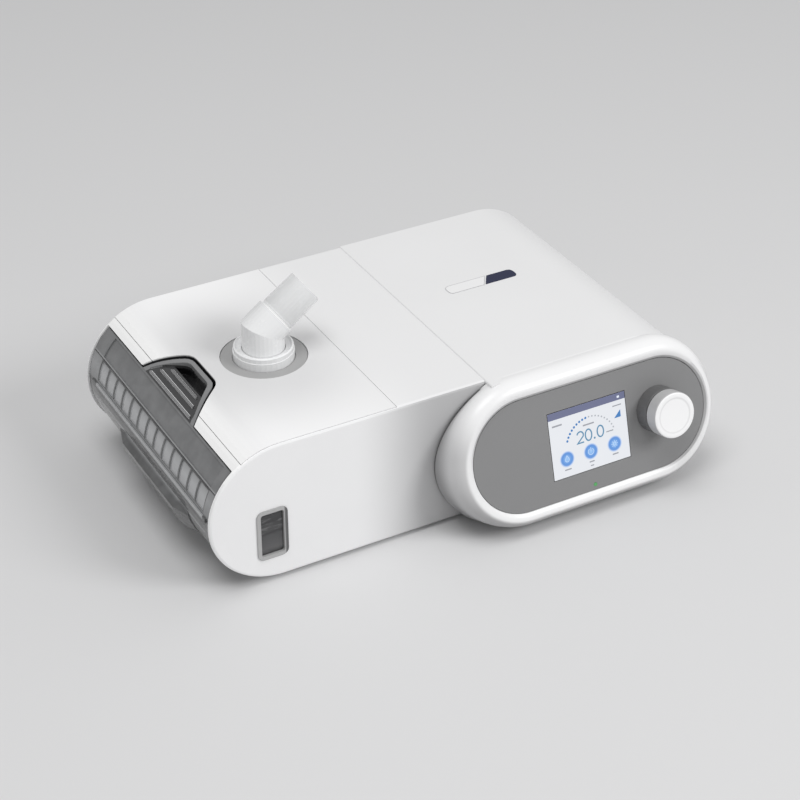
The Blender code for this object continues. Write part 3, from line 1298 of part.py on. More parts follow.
def build_dock_plate():
    """The case's side of the dock: a port for the air, slots for the hooks and a pocket for the plug."""
    plate = dock_plate_box("dock_plate", 0, 0, False)
    port = rod("case_port", DOCK_SEAL_RADIUS + FIT_GAP, -OVERRUN, OVERRUN,
               along_x(SEAM_X, DOCK_Y, AXIS_Z), 24, True)
    hooks = dock_hook_slots("case_hook_slots")
    pocket = box("plug_pocket", *moved_out(dock_pocket(1, DOCK_PLUG_DEPTH, FIT_GAP)), True)
    return finish(cut(plate, port, hooks, pocket), WHITE, 0.4)


def build_main_case():
    """A sleeve that is open at the front, where the pod goes on, and at the rear, behind the panel."""
    front = FRONT_Y - CASE_NOSE + FIT_GAP
    case = along_y("main_case", [main_profile(0)], front, BACK_Y)
    round_edges(case, EDGE_ROUND, 2, only=on_outer_rim)
    room = along_y("case_room", [main_profile(CASE_WALL)], front - OVERRUN, BACK_Y + OVERRUN, True)
    base = prism("main_base_hole", [main_base_outline()], BASE_Z - OVERRUN, BASE_Z + CASE_WALL + OVERRUN, PLAN, True)
    window = dock_plate_box("dock_window", FIT_GAP, OVERRUN, True)
    posts = [rod("post", POST_RADIUS, TOP_Z - MAIN_BOARD_DROP + FIT_GAP, TOP_Z - CASE_WALL / 2, at(x, y, 0), 16, True)
             for x, y in post_places()]
    cut(case, room, base, window)
    join(case, merge("board_posts", posts, True))
    return finish(case, WHITE, 0.35)


def build_main_base():
    """The bottom cover, with a flange inside the case."""
    plate = prism("main_base", [main_base_outline(FIT_GAP)], BASE_Z, BASE_Z + CASE_WALL + FIT_GAP * 2)
    flange = prism("main_base_flange", [main_base_outline(-BASE_ROUND / 2)], BASE_Z + CASE_WALL + FIT_GAP,
                   BASE_Z + CASE_WALL + BASE_RECESS, PLAN, True)
    join(plate, flange)
    cut(plate, screw_wells("main_base_holes", main_corners(SCREW_MARGIN), SCREW_RADIUS + FIT_GAP,
                           BASE_Z - OVERRUN, BASE_Z + CASE_WALL))
    cut(plate, foot_wells("main_base_foot_holes", main_corners(FOOT_MARGIN)))
    return finish(plate, WHITE, 0.5)


def pod_ring(depth, half, centre, left, right, inset=0.0):
    """An outline of the pod, parallel to the fascia."""
    ring = stadium(left + inset, right - inset, centre, half - inset)
    return [POD_FRAME @ Vector((u, v, depth)) for u, v in ring]


def root_ring(y, inset=0.0):
    """The upright outline where the pod meets the body, bulging to the left."""
    step = math.pi / (POD_ARC_POINTS - 1)
    right = arc((RIGHT_AXIS_X, AXIS_Z), END_RADIUS - inset, math.pi / 2, -math.pi / 2, step)
    centre = (SEAM_X + POD_ROOT_X_INSET, AXIS_Z - POD_ROOT_DROP)
    middle = math.pi - POD_ROOT_TURN
    low = middle + POD_ROOT_SPREAD / 2
    high = middle - POD_ROOT_SPREAD / 2
    spread = (high - low) / (POD_ARC_POINTS - 1)
    left = arc(centre, POD_ROOT_RADIUS - inset, low, high, abs(spread))
    top = TOP_Z - inset
    bottom = BASE_Z + inset
    return [Vector((u, y, min(max(v, bottom), top))) for u, v in right + left]


def pod_prism(name, half, low, high, cutter=True):
    """A stadium slab parallel to the fascia."""
    shrink = FASCIA_HALF - half
    outline = stadium(FASCIA_LEFT + shrink, FASCIA_RIGHT - shrink, FASCIA_CENTRE, half)
    return prism(name, [outline], low, high, POD_FRAME, cutter)


def build_front_bezel():
    """The pod: a lofted shell with a bright rim, a seat for the fascia and an opening to the case."""
    back = FRONT_Y - FIT_GAP
    rings = [
        root_ring(back),
        pod_ring(CREASE_DEPTH, CREASE_HALF, CREASE_CENTRE, CREASE_LEFT, CREASE_RIGHT),
        pod_ring(SHOULDER_DEPTH, SHOULDER_HALF, SHOULDER_CENTRE, SHOULDER_LEFT, SHOULDER_RIGHT),
        pod_ring(RIM_DEPTH, RIM_HALF, RIM_CENTRE, RIM_LEFT, RIM_RIGHT),
        pod_ring(RIM_FACE_DEPTH, RIM_FACE_HALF, RIM_FACE_CENTRE, RIM_FACE_LEFT, RIM_FACE_RIGHT),
    ]
    bezel = loft("front_bezel", rings)
    inner = loft("bezel_room", [
        root_ring(back - POD_BACK_WALL, POD_WALL),
        pod_ring(CREASE_DEPTH - POD_WALL, CREASE_HALF, CREASE_CENTRE, CREASE_LEFT, CREASE_RIGHT, POD_WALL),
        pod_ring(CAVITY_FRONT_DEPTH, SHOULDER_HALF, SHOULDER_CENTRE, SHOULDER_LEFT, SHOULDER_RIGHT, POD_WALL),
    ], True)
    nose = box("case_nose", (SEAM_X - SEAM_GAP / 2, FRONT_Y - CASE_NOSE, BASE_Z - OVERRUN),
               (RIGHT_AXIS_X + END_RADIUS + OVERRUN, FRONT_Y + OVERRUN, TOP_Z + OVERRUN), True)
    seat = pod_prism("fascia_seat", FASCIA_HALF + FIT_GAP, FASCIA_BACK - FIT_GAP, OVERRUN)
    mouth = pod_prism("fascia_mouth", FASCIA_HALF - FASCIA_LEDGE, CAVITY_FRONT_DEPTH - POD_WALL, OVERRUN)
    light = rod("light_hole", LED_RADIUS + FIT_GAP, BOARD_FRONT, OVERRUN, POD_FRAME @ at(LED_X, LED_Y, 0), 12, True)
    cut(bezel, nose, inner, seat, mouth, light)
    return finish(bezel, WHITE, 0.3)


def screen_outline(grow=0.0):
    return rectangle((SCREEN_X, SCREEN_Y), SCREEN_WIDTH + 2 * grow, SCREEN_HEIGHT + 2 * grow)


def build_front_fascia():
    outline = stadium(FASCIA_LEFT, FASCIA_RIGHT, FASCIA_CENTRE, FASCIA_HALF)
    led = arc((LED_X, LED_Y), LED_RADIUS + FIT_GAP / 2, 0, math.tau * 11 / 12, math.tau / 12)
    shaft = arc((KNOB_X, KNOB_Y), BUSHING_RADIUS + FIT_GAP, 0, math.tau * 23 / 24, math.tau / 24)
    panel = prism("front_fascia", [outline, screen_outline(FIT_GAP), led, shaft], FASCIA_BACK, FASCIA_FRONT, POD_FRAME)
    return finish(panel, FASCIA_GREY, 0.4)


def build_display():
    front = FASCIA_FRONT - FIT_GAP / 3
    glass = prism("display_window", [screen_outline()], front - SCREEN_GLASS, front, POD_FRAME)
    module = prism("display_module", [screen_outline(MODULE_MARGIN)], MODULE_BACK, FASCIA_BACK - FIT_GAP, POD_FRAME)
    raised = prism("display_core", [screen_outline(-FIT_GAP)], MODULE_BACK + FIT_GAP, front - SCREEN_GLASS - FIT_GAP,
                   POD_FRAME, True)
    join(module, raised)
    board = prism("display_board", [rectangle((BOARD_X, SCREEN_Y), BOARD_WIDTH, BOARD_HEIGHT, BOARD_CORNER)],
                  BOARD_FRONT - BOARD_THICKNESS, BOARD_FRONT, POD_FRAME)
    pads = [rod("board_spacer", POST_RADIUS, BOARD_FRONT - BOARD_THICKNESS / 2, MODULE_BACK - FIT_GAP,
                POD_FRAME @ at(SCREEN_X + a * SCREEN_WIDTH / 2, SCREEN_Y + b * SCREEN_HEIGHT / 2, 0), 8, True)
            for a in (-1, 1) for b in (-1, 1)]
    join(board, merge("board_spacers", pads, True))
    finish(glass, BLACK, 0.08)
    finish(module, METAL, 0.4, 0.6)
    return finish(board, GREEN_BOARD, 0.5)


def build_status_led():
    led = rod("status_led", LED_RADIUS, BOARD_FRONT + FIT_GAP, FASCIA_FRONT, POD_FRAME @ at(LED_X, LED_Y, 0), 12)
    return finish(led, (0.1, 0.8, 0.2), 0.3)


def build_knob_collar():
    """The grey base of the knob: a cup with a hole for the bushing."""
    base = FASCIA_FRONT + FIT_GAP / 3
    top = COLLAR_BASE_HEIGHT + FASCIA_FRONT
    hole = BUSHING_RADIUS + FIT_GAP
    outer = COLLAR_BASE_RADIUS
    inner = outer - COLLAR_BASE_WALL
    profile = [
        (outer - SMALL_ROUND, top),
        (outer, top - SMALL_ROUND),
        (outer, base),
        (hole, base),
        (hole, base + COLLAR_BASE_WALL),
        (inner, base + COLLAR_BASE_WALL),
        (inner, top),
    ]
    return finish(turned("knob_collar", profile, KNOB_PLACE, 32, True), FASCIA_GREY, 0.45)


def build_knob():
    """A white cup with a soft edge and a boss on the shaft."""
    top = KNOB_TOP + FASCIA_FRONT
    back = KNOB_BACK + FASCIA_FRONT
    edge = KNOB_ROUND
    outer = KNOB_RADIUS
    corner = arc((outer - edge, top - edge), edge, math.pi / 2, 0, ARC_STEP * 4)
    bore = SHAFT_RADIUS + SHAFT_GAP / 2
    profile = [(0, top)] + corner + [
        (outer, back),
        (outer - KNOB_WALL, back),
        (outer - KNOB_WALL, top - KNOB_WALL),
        (KNOB_BOSS, top - KNOB_WALL),
        (KNOB_BOSS, back),
        (bore, back),
        (bore, top - KNOB_WALL),
        (0, top - KNOB_WALL),
    ]
    return finish(turned("knob", profile, KNOB_PLACE, 36), WHITE, 0.3, origin=KNOB_PLACE.translation)


def build_encoder():
    """The rotary encoder: a can with a bushing, a slider that is pushed in, and the shaft that turns in both."""
    can = prism("encoder_body", [rectangle((KNOB_X, KNOB_Y), ENCODER_SIZE, ENCODER_SIZE, SMALL_ROUND)],
                ENCODER_BACK, ENCODER_FRONT, POD_FRAME)
    bushing = rod("bushing", BUSHING_RADIUS, ENCODER_FRONT - ENCODER_WALL / 2, COLLAR_BASE_HEIGHT / 3, KNOB_PLACE,
                  16, True)
    bore = rod("bushing_bore", SHAFT_RADIUS + SHAFT_GAP, ENCODER_BACK + ENCODER_WALL, COLLAR_BASE_HEIGHT, KNOB_PLACE,
               16, True)
    room = rod("slider_room", SLIDER_RADIUS + FIT_GAP, ENCODER_BACK - OVERRUN, ENCODER_FRONT - ENCODER_WALL,
               KNOB_PLACE, 16, True)
    join(can, bushing)
    cut(can, bore, room)
    slider_front = ENCODER_BACK + KNOB_TRAVEL + 2 * FIT_GAP + SLIDER_THICKNESS
    profile = [
        (SLIDER_RADIUS, slider_front),
        (SLIDER_RADIUS, slider_front - SLIDER_THICKNESS),
        (SHAFT_RADIUS / 2, slider_front - SLIDER_THICKNESS),
        (SHAFT_RADIUS / 2, slider_front),
    ]
    slider = turned("encoder_slider", profile, KNOB_PLACE, 16, True)
    shaft_end = KNOB_TOP + FASCIA_FRONT - KNOB_WALL - FIT_GAP
    stem = [
        (0, shaft_end),
        (SHAFT_RADIUS - SMALL_ROUND, shaft_end),
        (SHAFT_RADIUS, shaft_end - SMALL_ROUND),
        (SHAFT_RADIUS, slider_front + FIT_GAP),
        (0, slider_front + FIT_GAP),
    ]
    shaft = turned("encoder_shaft", stem, KNOB_PLACE, 16)
    finish(can, METAL, 0.4, 1.0)
    finish(slider, BLACK, 0.5, origin=KNOB_PLACE.translation)
    return finish(shaft, METAL, 0.3, 1.0, origin=KNOB_PLACE.translation)


def tongue_angle(grow):
    """Where the spiral meets the channel's inner wall."""
    return math.pi - math.asin((VOLUTE_END - VOLUTE_CHANNEL - grow) / (VOLUTE_START + grow))


def volute_outline(grow=0.0, reach=0.0):
    """The blower's spiral, seen from above, with its channel running to the left."""
    whole_start = tongue_angle(0)
    start = tongue_angle(grow)
    exit_angle = math.tau + math.pi / 2
    spiral = []
    for i in range(VOLUTE_STEPS + 1):
        turn = start + (exit_angle - start) * i / VOLUTE_STEPS
        share = (turn - whole_start) / (exit_angle - whole_start)
        radius = VOLUTE_START + (VOLUTE_END - VOLUTE_START) * share + grow
        spiral.append((BLOWER_X + radius * math.cos(turn), BLOWER_Y + radius * math.sin(turn)))
    end_x = BLOWER_X - VOLUTE_OUTLET - reach
    top = BLOWER_Y + VOLUTE_END + grow
    return spiral + [(end_x, top), (end_x, top - VOLUTE_CHANNEL - 2 * grow)]


def build_blower():
    """A spiral housing in two halves, with the impeller's eye in the upper one."""
    floor = VOLUTE_Z - VOLUTE_WALL
    split = VOLUTE_Z + VOLUTE_HEIGHT - VOLUTE_WALL
    base = prism("blower_base", [volute_outline(VOLUTE_WALL)], floor, split)
    room = prism("volute_room", [volute_outline(0, OVERRUN)], VOLUTE_Z, split + OVERRUN, PLAN, True)
    hole = rod("motor_hole", MOTOR_RADIUS / 2, floor - OVERRUN, VOLUTE_Z + OVERRUN, at(BLOWER_X, BLOWER_Y, 0), 24, True)
    cut(base, room, hole)
    cover = prism("blower_cover", [volute_outline(VOLUTE_WALL)], split + FIT_GAP, split + FIT_GAP + VOLUTE_WALL)
    eye = turned("eye_ring", [
        (BLOWER_EYE_RADIUS + VOLUTE_WALL, split + VOLUTE_WALL * 3),
        (BLOWER_EYE_RADIUS + VOLUTE_WALL, split + VOLUTE_WALL),
        (BLOWER_EYE_RADIUS, split + VOLUTE_WALL),
        (BLOWER_EYE_RADIUS, split + VOLUTE_WALL * 3),
    ], at(BLOWER_X, BLOWER_Y, 0), 28, True, True)
    mouth = rod("eye_hole", BLOWER_EYE_RADIUS, split - OVERRUN, split + OVERRUN * 2, at(BLOWER_X, BLOWER_Y, 0), 28, True)
    join(cover, eye)
    cut(cover, mouth)
    finish(base, PALE_GREY, 0.5)
    return finish(cover, PALE_GREY, 0.5)


def blade(turn, low, high):
    """One swept blade between the hub and the rim."""
    front, rear = [], []
    for i in range(BLADE_STEPS + 1):
        share = i / BLADE_STEPS
        radius = BLADE_INNER_RADIUS + (IMPELLER_RADIUS - BLADE_TIP_INSET - BLADE_INNER_RADIUS) * share
        angle = turn - BLADE_SWEEP * share
        half = BLADE_THICKNESS / 2 / radius
        front.append((BLOWER_X + radius * math.cos(angle + half), BLOWER_Y + radius * math.sin(angle + half)))
        rear.append((BLOWER_X + radius * math.cos(angle - half), BLOWER_Y + radius * math.sin(angle - half)))
    return prism("blade", [front + rear[::-1]], low, high, PLAN, True)


def build_impeller():
    """A disc with a hub and swept blades."""
    floor = VOLUTE_Z + VOLUTE_WALL
    disc_top = floor + IMPELLER_DISC
    hub_top = floor + IMPELLER_HEIGHT * IMPELLER_HUB_SHARE
    bore = MOTOR_SHAFT_RADIUS + FIT_GAP / 2
    profile = [
        (IMPELLER_HUB_RADIUS / 2, hub_top),
        (IMPELLER_HUB_RADIUS, disc_top + IMPELLER_HUB_RADIUS / 3),
        (IMPELLER_HUB_RADIUS + IMPELLER_DISC, disc_top),
        (IMPELLER_RADIUS, disc_top),
        (IMPELLER_RADIUS, floor),
        (bore, floor),
        (bore, hub_top),
    ]
    wheel = turned("impeller", profile, at(BLOWER_X, BLOWER_Y, 0), 33, True)
    blades = [blade(math.tau * i / BLADE_COUNT, floor + IMPELLER_DISC / 2, floor + IMPELLER_HEIGHT)
              for i in range(BLADE_COUNT)]
    join(wheel, merge("blades", blades, True))
    return finish(wheel, WHITE, 0.4, origin=BLOWER_ORIGIN)


def build_motor():
    top = VOLUTE_Z - VOLUTE_WALL - FIT_GAP
    bottom = BASE_Z + CASE_WALL + BASE_RECESS + MOTOR_FLOOR_GAP
    bore = MOTOR_SHAFT_RADIUS + FIT_GAP / 2
    profile = [
        (MOTOR_RADIUS - VOLUTE_WALL, top),
        (MOTOR_RADIUS, top - VOLUTE_WALL),
        (MOTOR_RADIUS, bottom + VOLUTE_WALL),
        (MOTOR_RADIUS - VOLUTE_WALL, bottom),
        (bore, bottom),
        (bore, top),
    ]
    can = turned("motor", profile, at(BLOWER_X, BLOWER_Y, 0), 24, True)
    tip = VOLUTE_Z + VOLUTE_WALL + IMPELLER_HEIGHT * IMPELLER_HUB_SHARE - FIT_GAP
    spindle = rod("motor_shaft", MOTOR_SHAFT_RADIUS, bottom + FIT_GAP, tip, at(BLOWER_X, BLOWER_Y, 0), 12)
    finish(spindle, METAL, 0.3, 1.0, origin=BLOWER_ORIGIN)
    return finish(can, METAL, 0.4, 1.0)


def build_blower_mounts():
    """Soft posts between the bottom cover and the blower."""
    low = BASE_Z + CASE_WALL + BASE_RECESS + FIT_GAP
    high = VOLUTE_Z - VOLUTE_WALL - FIT_GAP
    for i in range(MOUNT_COUNT):
        turn = math.tau * (i + 0.5) / MOUNT_COUNT
        x = BLOWER_X + MOUNT_CIRCLE * math.cos(turn)
        y = BLOWER_Y + MOUNT_CIRCLE * math.sin(turn)
        waist = MOUNT_RADIUS * MOUNT_WAIST_SHARE
        span = high - low
        profile = [(0, high), (MOUNT_RADIUS, high), (MOUNT_RADIUS, high - span / 4), (waist, high - span / 3),
                   (waist, low + span / 3), (MOUNT_RADIUS, low + span / 4), (MOUNT_RADIUS, low), (0, low)]
        finish(turned(f"blower_mount_{i + 1}", profile, at(x, y, 0), 12), RUBBER, 0.8)


def build_blower_outlet():
    """A ribbed bellows from the volute's channel to the port at the seam."""
    near = SEAM_X + SEAM_GAP + DOCK_SEAL_THICKNESS + 3 * FIT_GAP
    far = BLOWER_X - VOLUTE_OUTLET - FIT_GAP
    outer = DOCK_RADIUS + DUCT_WALL
    ridge = outer - DUCT_WALL / 2
    span = (far - near) / (2 * BELLOWS_RIBS)
    down = []
    for i in range(2 * BELLOWS_RIBS + 1):
        down.append((outer if i % 2 == 0 else ridge, far - span * i))
    profile = down + [(DOCK_RADIUS - DUCT_WALL, near), (DOCK_RADIUS - DUCT_WALL, far)]
    return finish(turned("blower_outlet", profile, along_x(0, DOCK_Y, AXIS_Z), 20, True), RUBBER, 0.7)


def build_main_board():
    top = TOP_Z - MAIN_BOARD_DROP
    outline = rectangle((MAIN_BOARD_X, MAIN_BOARD_Y), MAIN_BOARD_WIDTH, MAIN_BOARD_LENGTH, BOARD_CORNER)
    board = prism("main_board", [outline], top - BOARD_THICKNESS, top)
    chip_shares = ((-0.25, -0.3, 0.16), (0.1, -0.2, 0.2), (0.2, 0.25, 0.14), (-0.3, 0.2, 0.22))
    chips = []
    for across, along, size in chip_shares:
        x = MAIN_BOARD_X + across * MAIN_BOARD_WIDTH
        y = MAIN_BOARD_Y + along * MAIN_BOARD_LENGTH
        half = size * MAIN_BOARD_WIDTH / 2
        low = (x - half, y - half, top - BOARD_THICKNESS * 2)
        chips.append(box("chip", low, (x + half, y + half, top - BOARD_THICKNESS / 3), True))
    join(board, merge("chips", chips, True))
    return finish(board, GREEN_BOARD, 0.5)


def rear_outline(inset=0.0):
    """The rear panel's outline, a stadium with a squarer left side."""
    radius = END_RADIUS - CASE_WALL - FIT_GAP - inset
    left = SEAM_X + REAR_LEFT_MARGIN + inset
    right_end = arc((RIGHT_AXIS_X, AXIS_Z), radius, math.pi / 2, -math.pi / 2)
    return right_end + [(left, AXIS_Z - radius), (left, AXIS_Z + radius)]


def filter_outline(inset=0.0):
    """The filter's opening: square at its hinge and rounded at the top."""
    left = FILTER_X - FILTER_WIDTH / 2 + inset
    right = FILTER_X + FILTER_WIDTH / 2 - inset
    low = AXIS_Z - FILTER_HEIGHT / 2 + inset
    high = AXIS_Z + FILTER_HEIGHT / 2 - inset
    corner = max(FILTER_ROUND - inset, 0)
    return rounded([(left, low, 0), (right, low, 0), (right, high, corner), (left, high, corner)])


def card_outline(grow=0.0):
    return rectangle((CARD_X, CARD_Z), CARD_DOOR_WIDTH + 2 * grow, CARD_DOOR_HEIGHT + 2 * grow)


def pin_bores(name, x, y, z, width):
    """The sockets of a hinge's two pins."""
    reach = width / 2 + HINGE_PIN_REACH + FIT_GAP
    return rod(name, HINGE_PIN_RADIUS + FIT_GAP, -reach, reach, along_x(x, y, z), 12, True)


def build_rear_panel():
    """The back cover, with the filter's tray, the card slot's pocket and the hole of the power inlet."""
    panel = along_y("rear_panel", [rear_outline()], REAR_INNER_Y, BACK_Y - EDGE_ROUND)
    tray = along_y("filter_tray", [filter_outline(-FILTER_WALL)], BACK_Y - FILTER_POCKET - FILTER_WALL,
                   BACK_Y - EDGE_ROUND - TRAY_SETBACK, True)
    card_box = along_y("card_tray", [card_outline(FILTER_WALL)], BACK_Y - CARD_POCKET - FILTER_WALL,
                       BACK_Y - EDGE_ROUND - TRAY_SETBACK, True)
    join(panel, tray, card_box)
    pocket = along_y("filter_pocket", [filter_outline()], BACK_Y - FILTER_POCKET, BACK_Y + OVERRUN, True)
    air = along_y("filter_air", [filter_outline(FILTER_LEDGE)], BACK_Y - FILTER_POCKET - OVERRUN, BACK_Y, True)
    card = along_y("card_pocket", [card_outline(FIT_GAP)], BACK_Y - CARD_POCKET, BACK_Y + OVERRUN, True)
    slot = along_y("card_slot", [rectangle((CARD_X, CARD_Z), CARD_SLOT_WIDTH, CARD_SLOT_HEIGHT)],
                   BACK_Y - CARD_POCKET - OVERRUN, BACK_Y, True)
    jack = rod("jack_hole", INLET_JACK_RADIUS + FIT_GAP, -INLET_JACK_DEPTH, OVERRUN,
               facing_back(SEAM_X + INLET_JACK_X_INSET, BACK_Y, AXIS_Z), 24, True)
    filter_pins = pin_bores("filter_pin_bores", FILTER_X, FILTER_PIVOT_Y, FILTER_PIVOT_Z, FILTER_WIDTH)
    card_pins = pin_bores("card_pin_bores", CARD_X, CARD_PIVOT_Y, CARD_PIVOT_Z, CARD_DOOR_WIDTH)
    cut(panel, pocket, air, card, slot, jack, filter_pins, card_pins)
    return finish(panel, WHITE, 0.45)


def build_air_filter():
    back = BACK_Y - FILTER_POCKET + FIT_GAP
    block = along_y("air_filter", [filter_outline(FIT_GAP * 2)], back, back + FILTER_THICKNESS)
    return finish(block, (0.7, 0.7, 0.68), 0.95)


def build_filter_cover():
    """The hinged grille over the filter, turning on two pins at its lower edge."""
    gap = FIT_GAP
    bottom = FILTER_PIVOT_Z
    top = AXIS_Z + FILTER_HEIGHT / 2 - gap
    half = FILTER_WIDTH / 2 - gap
    outline = rounded([(FILTER_X - half, bottom, 0), (FILTER_X + half, bottom, 0),
                       (FILTER_X + half, top, FILTER_ROUND), (FILTER_X - half, top, FILTER_ROUND)])
    cover = along_y("filter_cover", [outline], FILTER_PIVOT_Y - GRILLE_THICKNESS / 2,
                    FILTER_PIVOT_Y + GRILLE_THICKNESS / 2)
    knuckle = rod("cover_knuckle", KNUCKLE_RADIUS, -half, half, along_x(FILTER_X, FILTER_PIVOT_Y, FILTER_PIVOT_Z), 16,
                  True)
    reach = FILTER_WIDTH / 2 + HINGE_PIN_REACH
    pins = rod("cover_pins", HINGE_PIN_RADIUS, -reach, reach, along_x(FILTER_X, FILTER_PIVOT_Y, FILTER_PIVOT_Z), 12,
               True)
    join(cover, knuckle, pins)
    low = bottom + GRILLE_MARGIN
    pitch = (top - GRILLE_MARGIN - low) / (GRILLE_SLOTS - 1)
    slots = []
    for i in range(GRILLE_SLOTS):
        middle = (FILTER_X, low + pitch * i)
        slots.append(along_y("grille_slot", [rectangle(middle, 2 * half - 2 * GRILLE_MARGIN, GRILLE_SLOT_HEIGHT)],
                             BACK_Y - FILTER_POCKET, BACK_Y + OVERRUN, True))
    cut(cover, merge("grille_slots", slots, True))
    return finish(cover, WHITE, 0.45, origin=FILTER_HINGE)


def build_dc_inlet():
    """The power inlet: a flanged barrel with a centre pin."""
    outer = INLET_JACK_RADIUS
    lip = INLET_JACK_FLANGE
    depth = INLET_JACK_DEPTH
    face = -EDGE_ROUND
    profile = [
        (0, face - lip),
        (INLET_JACK_PIN, face - lip),
        (INLET_JACK_PIN, face - depth + lip),
        (INLET_JACK_BORE, face - depth + lip),
        (INLET_JACK_BORE, face),
        (outer, face),
        (outer, face - depth),
        (0, face - depth),
    ]
    place = facing_back(SEAM_X + INLET_JACK_X_INSET, BACK_Y, AXIS_Z)
    return finish(turned("dc_inlet", profile, place, 24), BLACK, 0.4)


def build_card_reader():
    depth = BACK_Y - CARD_POCKET - FILTER_WALL - FIT_GAP
    grow = CARD_READER_MARGIN
    outer = rectangle((CARD_X, CARD_Z), CARD_SLOT_WIDTH + 2 * grow, CARD_SLOT_HEIGHT + 2 * grow)
    body = along_y("card_reader", [outer], depth - CARD_READER_DEPTH, depth)
    slot = along_y("reader_slot", [rectangle((CARD_X, CARD_Z), CARD_SLOT_WIDTH, CARD_SLOT_HEIGHT)],
                   depth - CARD_READER_DEPTH + grow, depth + OVERRUN, True)
    return finish(cut(body, slot), METAL, 0.4, 1.0)


def build_card_door():
    """A small flap with two pins at its lower edge and a lip for a fingernail."""
    half = CARD_DOOR_WIDTH / 2
    bottom = CARD_PIVOT_Z
    top = CARD_Z + CARD_DOOR_HEIGHT / 2
    outline = [(CARD_X - half, bottom), (CARD_X + half, bottom), (CARD_X + half, top), (CARD_X - half, top)]
    door = along_y("card_door", [outline], CARD_PIVOT_Y - CARD_DOOR_THICKNESS / 2, CARD_PIVOT_Y + CARD_DOOR_THICKNESS / 2)
    knuckle = rod("door_knuckle", CARD_DOOR_THICKNESS / 2, -half, half, along_x(CARD_X, CARD_PIVOT_Y, CARD_PIVOT_Z), 16,
                  True)
    reach = half + HINGE_PIN_REACH
    pins = rod("door_pins", CARD_DOOR_THICKNESS / 3, -reach, reach, along_x(CARD_X, CARD_PIVOT_Y, CARD_PIVOT_Z), 12, True)
    nail = box("door_nail", (CARD_X - half / 3, BACK_Y - CARD_DOOR_THICKNESS / 3, top - CARD_DOOR_HEIGHT / 5),
               (CARD_X + half / 3, BACK_Y + OVERRUN, top + OVERRUN), True)
    join(door, knuckle, pins)
    cut(door, nail)
    return finish(door, WHITE, 0.5, origin=CARD_HINGE)


def build_all():
    build_humidifier_shell()
    build_port_deck()
    build_bay_bulkhead()
    build_dock_wall()
    build_humidifier_cover()
    build_port_bezel()
    build_port_collar()
    build_port_seal()
    build_elbow()
    build_window()
    build_chamber_lid()
    build_chamber_tub()
    build_chamber_seal()
    build_chamber_plate()
    build_heater()
    build_transfer_duct()
    build_humidifier_base()
    build_rubber_feet()
    build_dock_seal()
    build_dock_contacts()
    build_main_case()
    build_dock_plate()
    build_main_base()
    build_front_bezel()
    build_front_fascia()
    build_display()
    build_status_led()
    build_knob_collar()
    build_knob()
    build_encoder()
    build_blower()
    build_impeller()
    build_motor()
    build_blower_mounts()
    build_blower_outlet()
    build_main_board()
    build_rear_panel()
    build_air_filter()
    build_filter_cover()
    build_dc_inlet()
    build_card_reader()
    build_card_door()


build_all()
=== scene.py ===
# %% [markdown]
# # A bedside breathing machine, dressed for its picture
# The machine blows air through a water chamber and out of a hose elbow on its top.
# Its solid parts were made in CAD and packed. They could be made again here, but they
# would then no longer fit each other, so they are loaded as a fixed frame, and this
# script only adds finishes, small pieces, light and a camera.

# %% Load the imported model
import math

import bmesh
import bpy
from mathutils import Matrix, Vector


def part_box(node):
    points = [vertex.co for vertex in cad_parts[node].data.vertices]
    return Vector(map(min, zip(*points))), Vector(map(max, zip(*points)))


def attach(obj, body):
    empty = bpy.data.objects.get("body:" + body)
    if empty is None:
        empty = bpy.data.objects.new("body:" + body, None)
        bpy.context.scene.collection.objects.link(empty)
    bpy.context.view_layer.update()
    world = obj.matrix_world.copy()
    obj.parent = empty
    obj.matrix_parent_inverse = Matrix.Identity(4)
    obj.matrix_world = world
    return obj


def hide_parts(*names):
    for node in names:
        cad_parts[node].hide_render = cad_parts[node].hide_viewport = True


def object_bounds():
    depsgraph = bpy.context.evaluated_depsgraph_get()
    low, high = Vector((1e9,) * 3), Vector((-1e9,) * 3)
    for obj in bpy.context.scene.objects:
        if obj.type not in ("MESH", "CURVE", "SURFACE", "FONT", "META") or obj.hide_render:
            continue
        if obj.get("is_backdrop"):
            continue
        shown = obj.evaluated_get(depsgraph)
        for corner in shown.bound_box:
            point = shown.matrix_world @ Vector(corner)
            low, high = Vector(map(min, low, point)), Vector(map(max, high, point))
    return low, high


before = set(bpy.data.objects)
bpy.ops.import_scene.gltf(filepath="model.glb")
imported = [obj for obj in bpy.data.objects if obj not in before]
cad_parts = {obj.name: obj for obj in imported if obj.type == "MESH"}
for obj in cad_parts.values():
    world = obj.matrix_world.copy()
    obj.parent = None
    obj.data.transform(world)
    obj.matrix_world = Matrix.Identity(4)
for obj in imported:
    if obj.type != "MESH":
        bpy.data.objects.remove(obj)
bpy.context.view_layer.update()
MM = 0.001
DEG = math.pi / 180

# %% [markdown]
# ## Where things are
# Small pieces have to sit on the parts that carry them. Their places could be typed in
# as coordinates, but they are measured from the loaded parts instead, so that they
# stay right if a part changes. The control panel leans back, so it gets a frame of its
# own: X runs along the panel, Y runs up its slope, and Z points out of it.

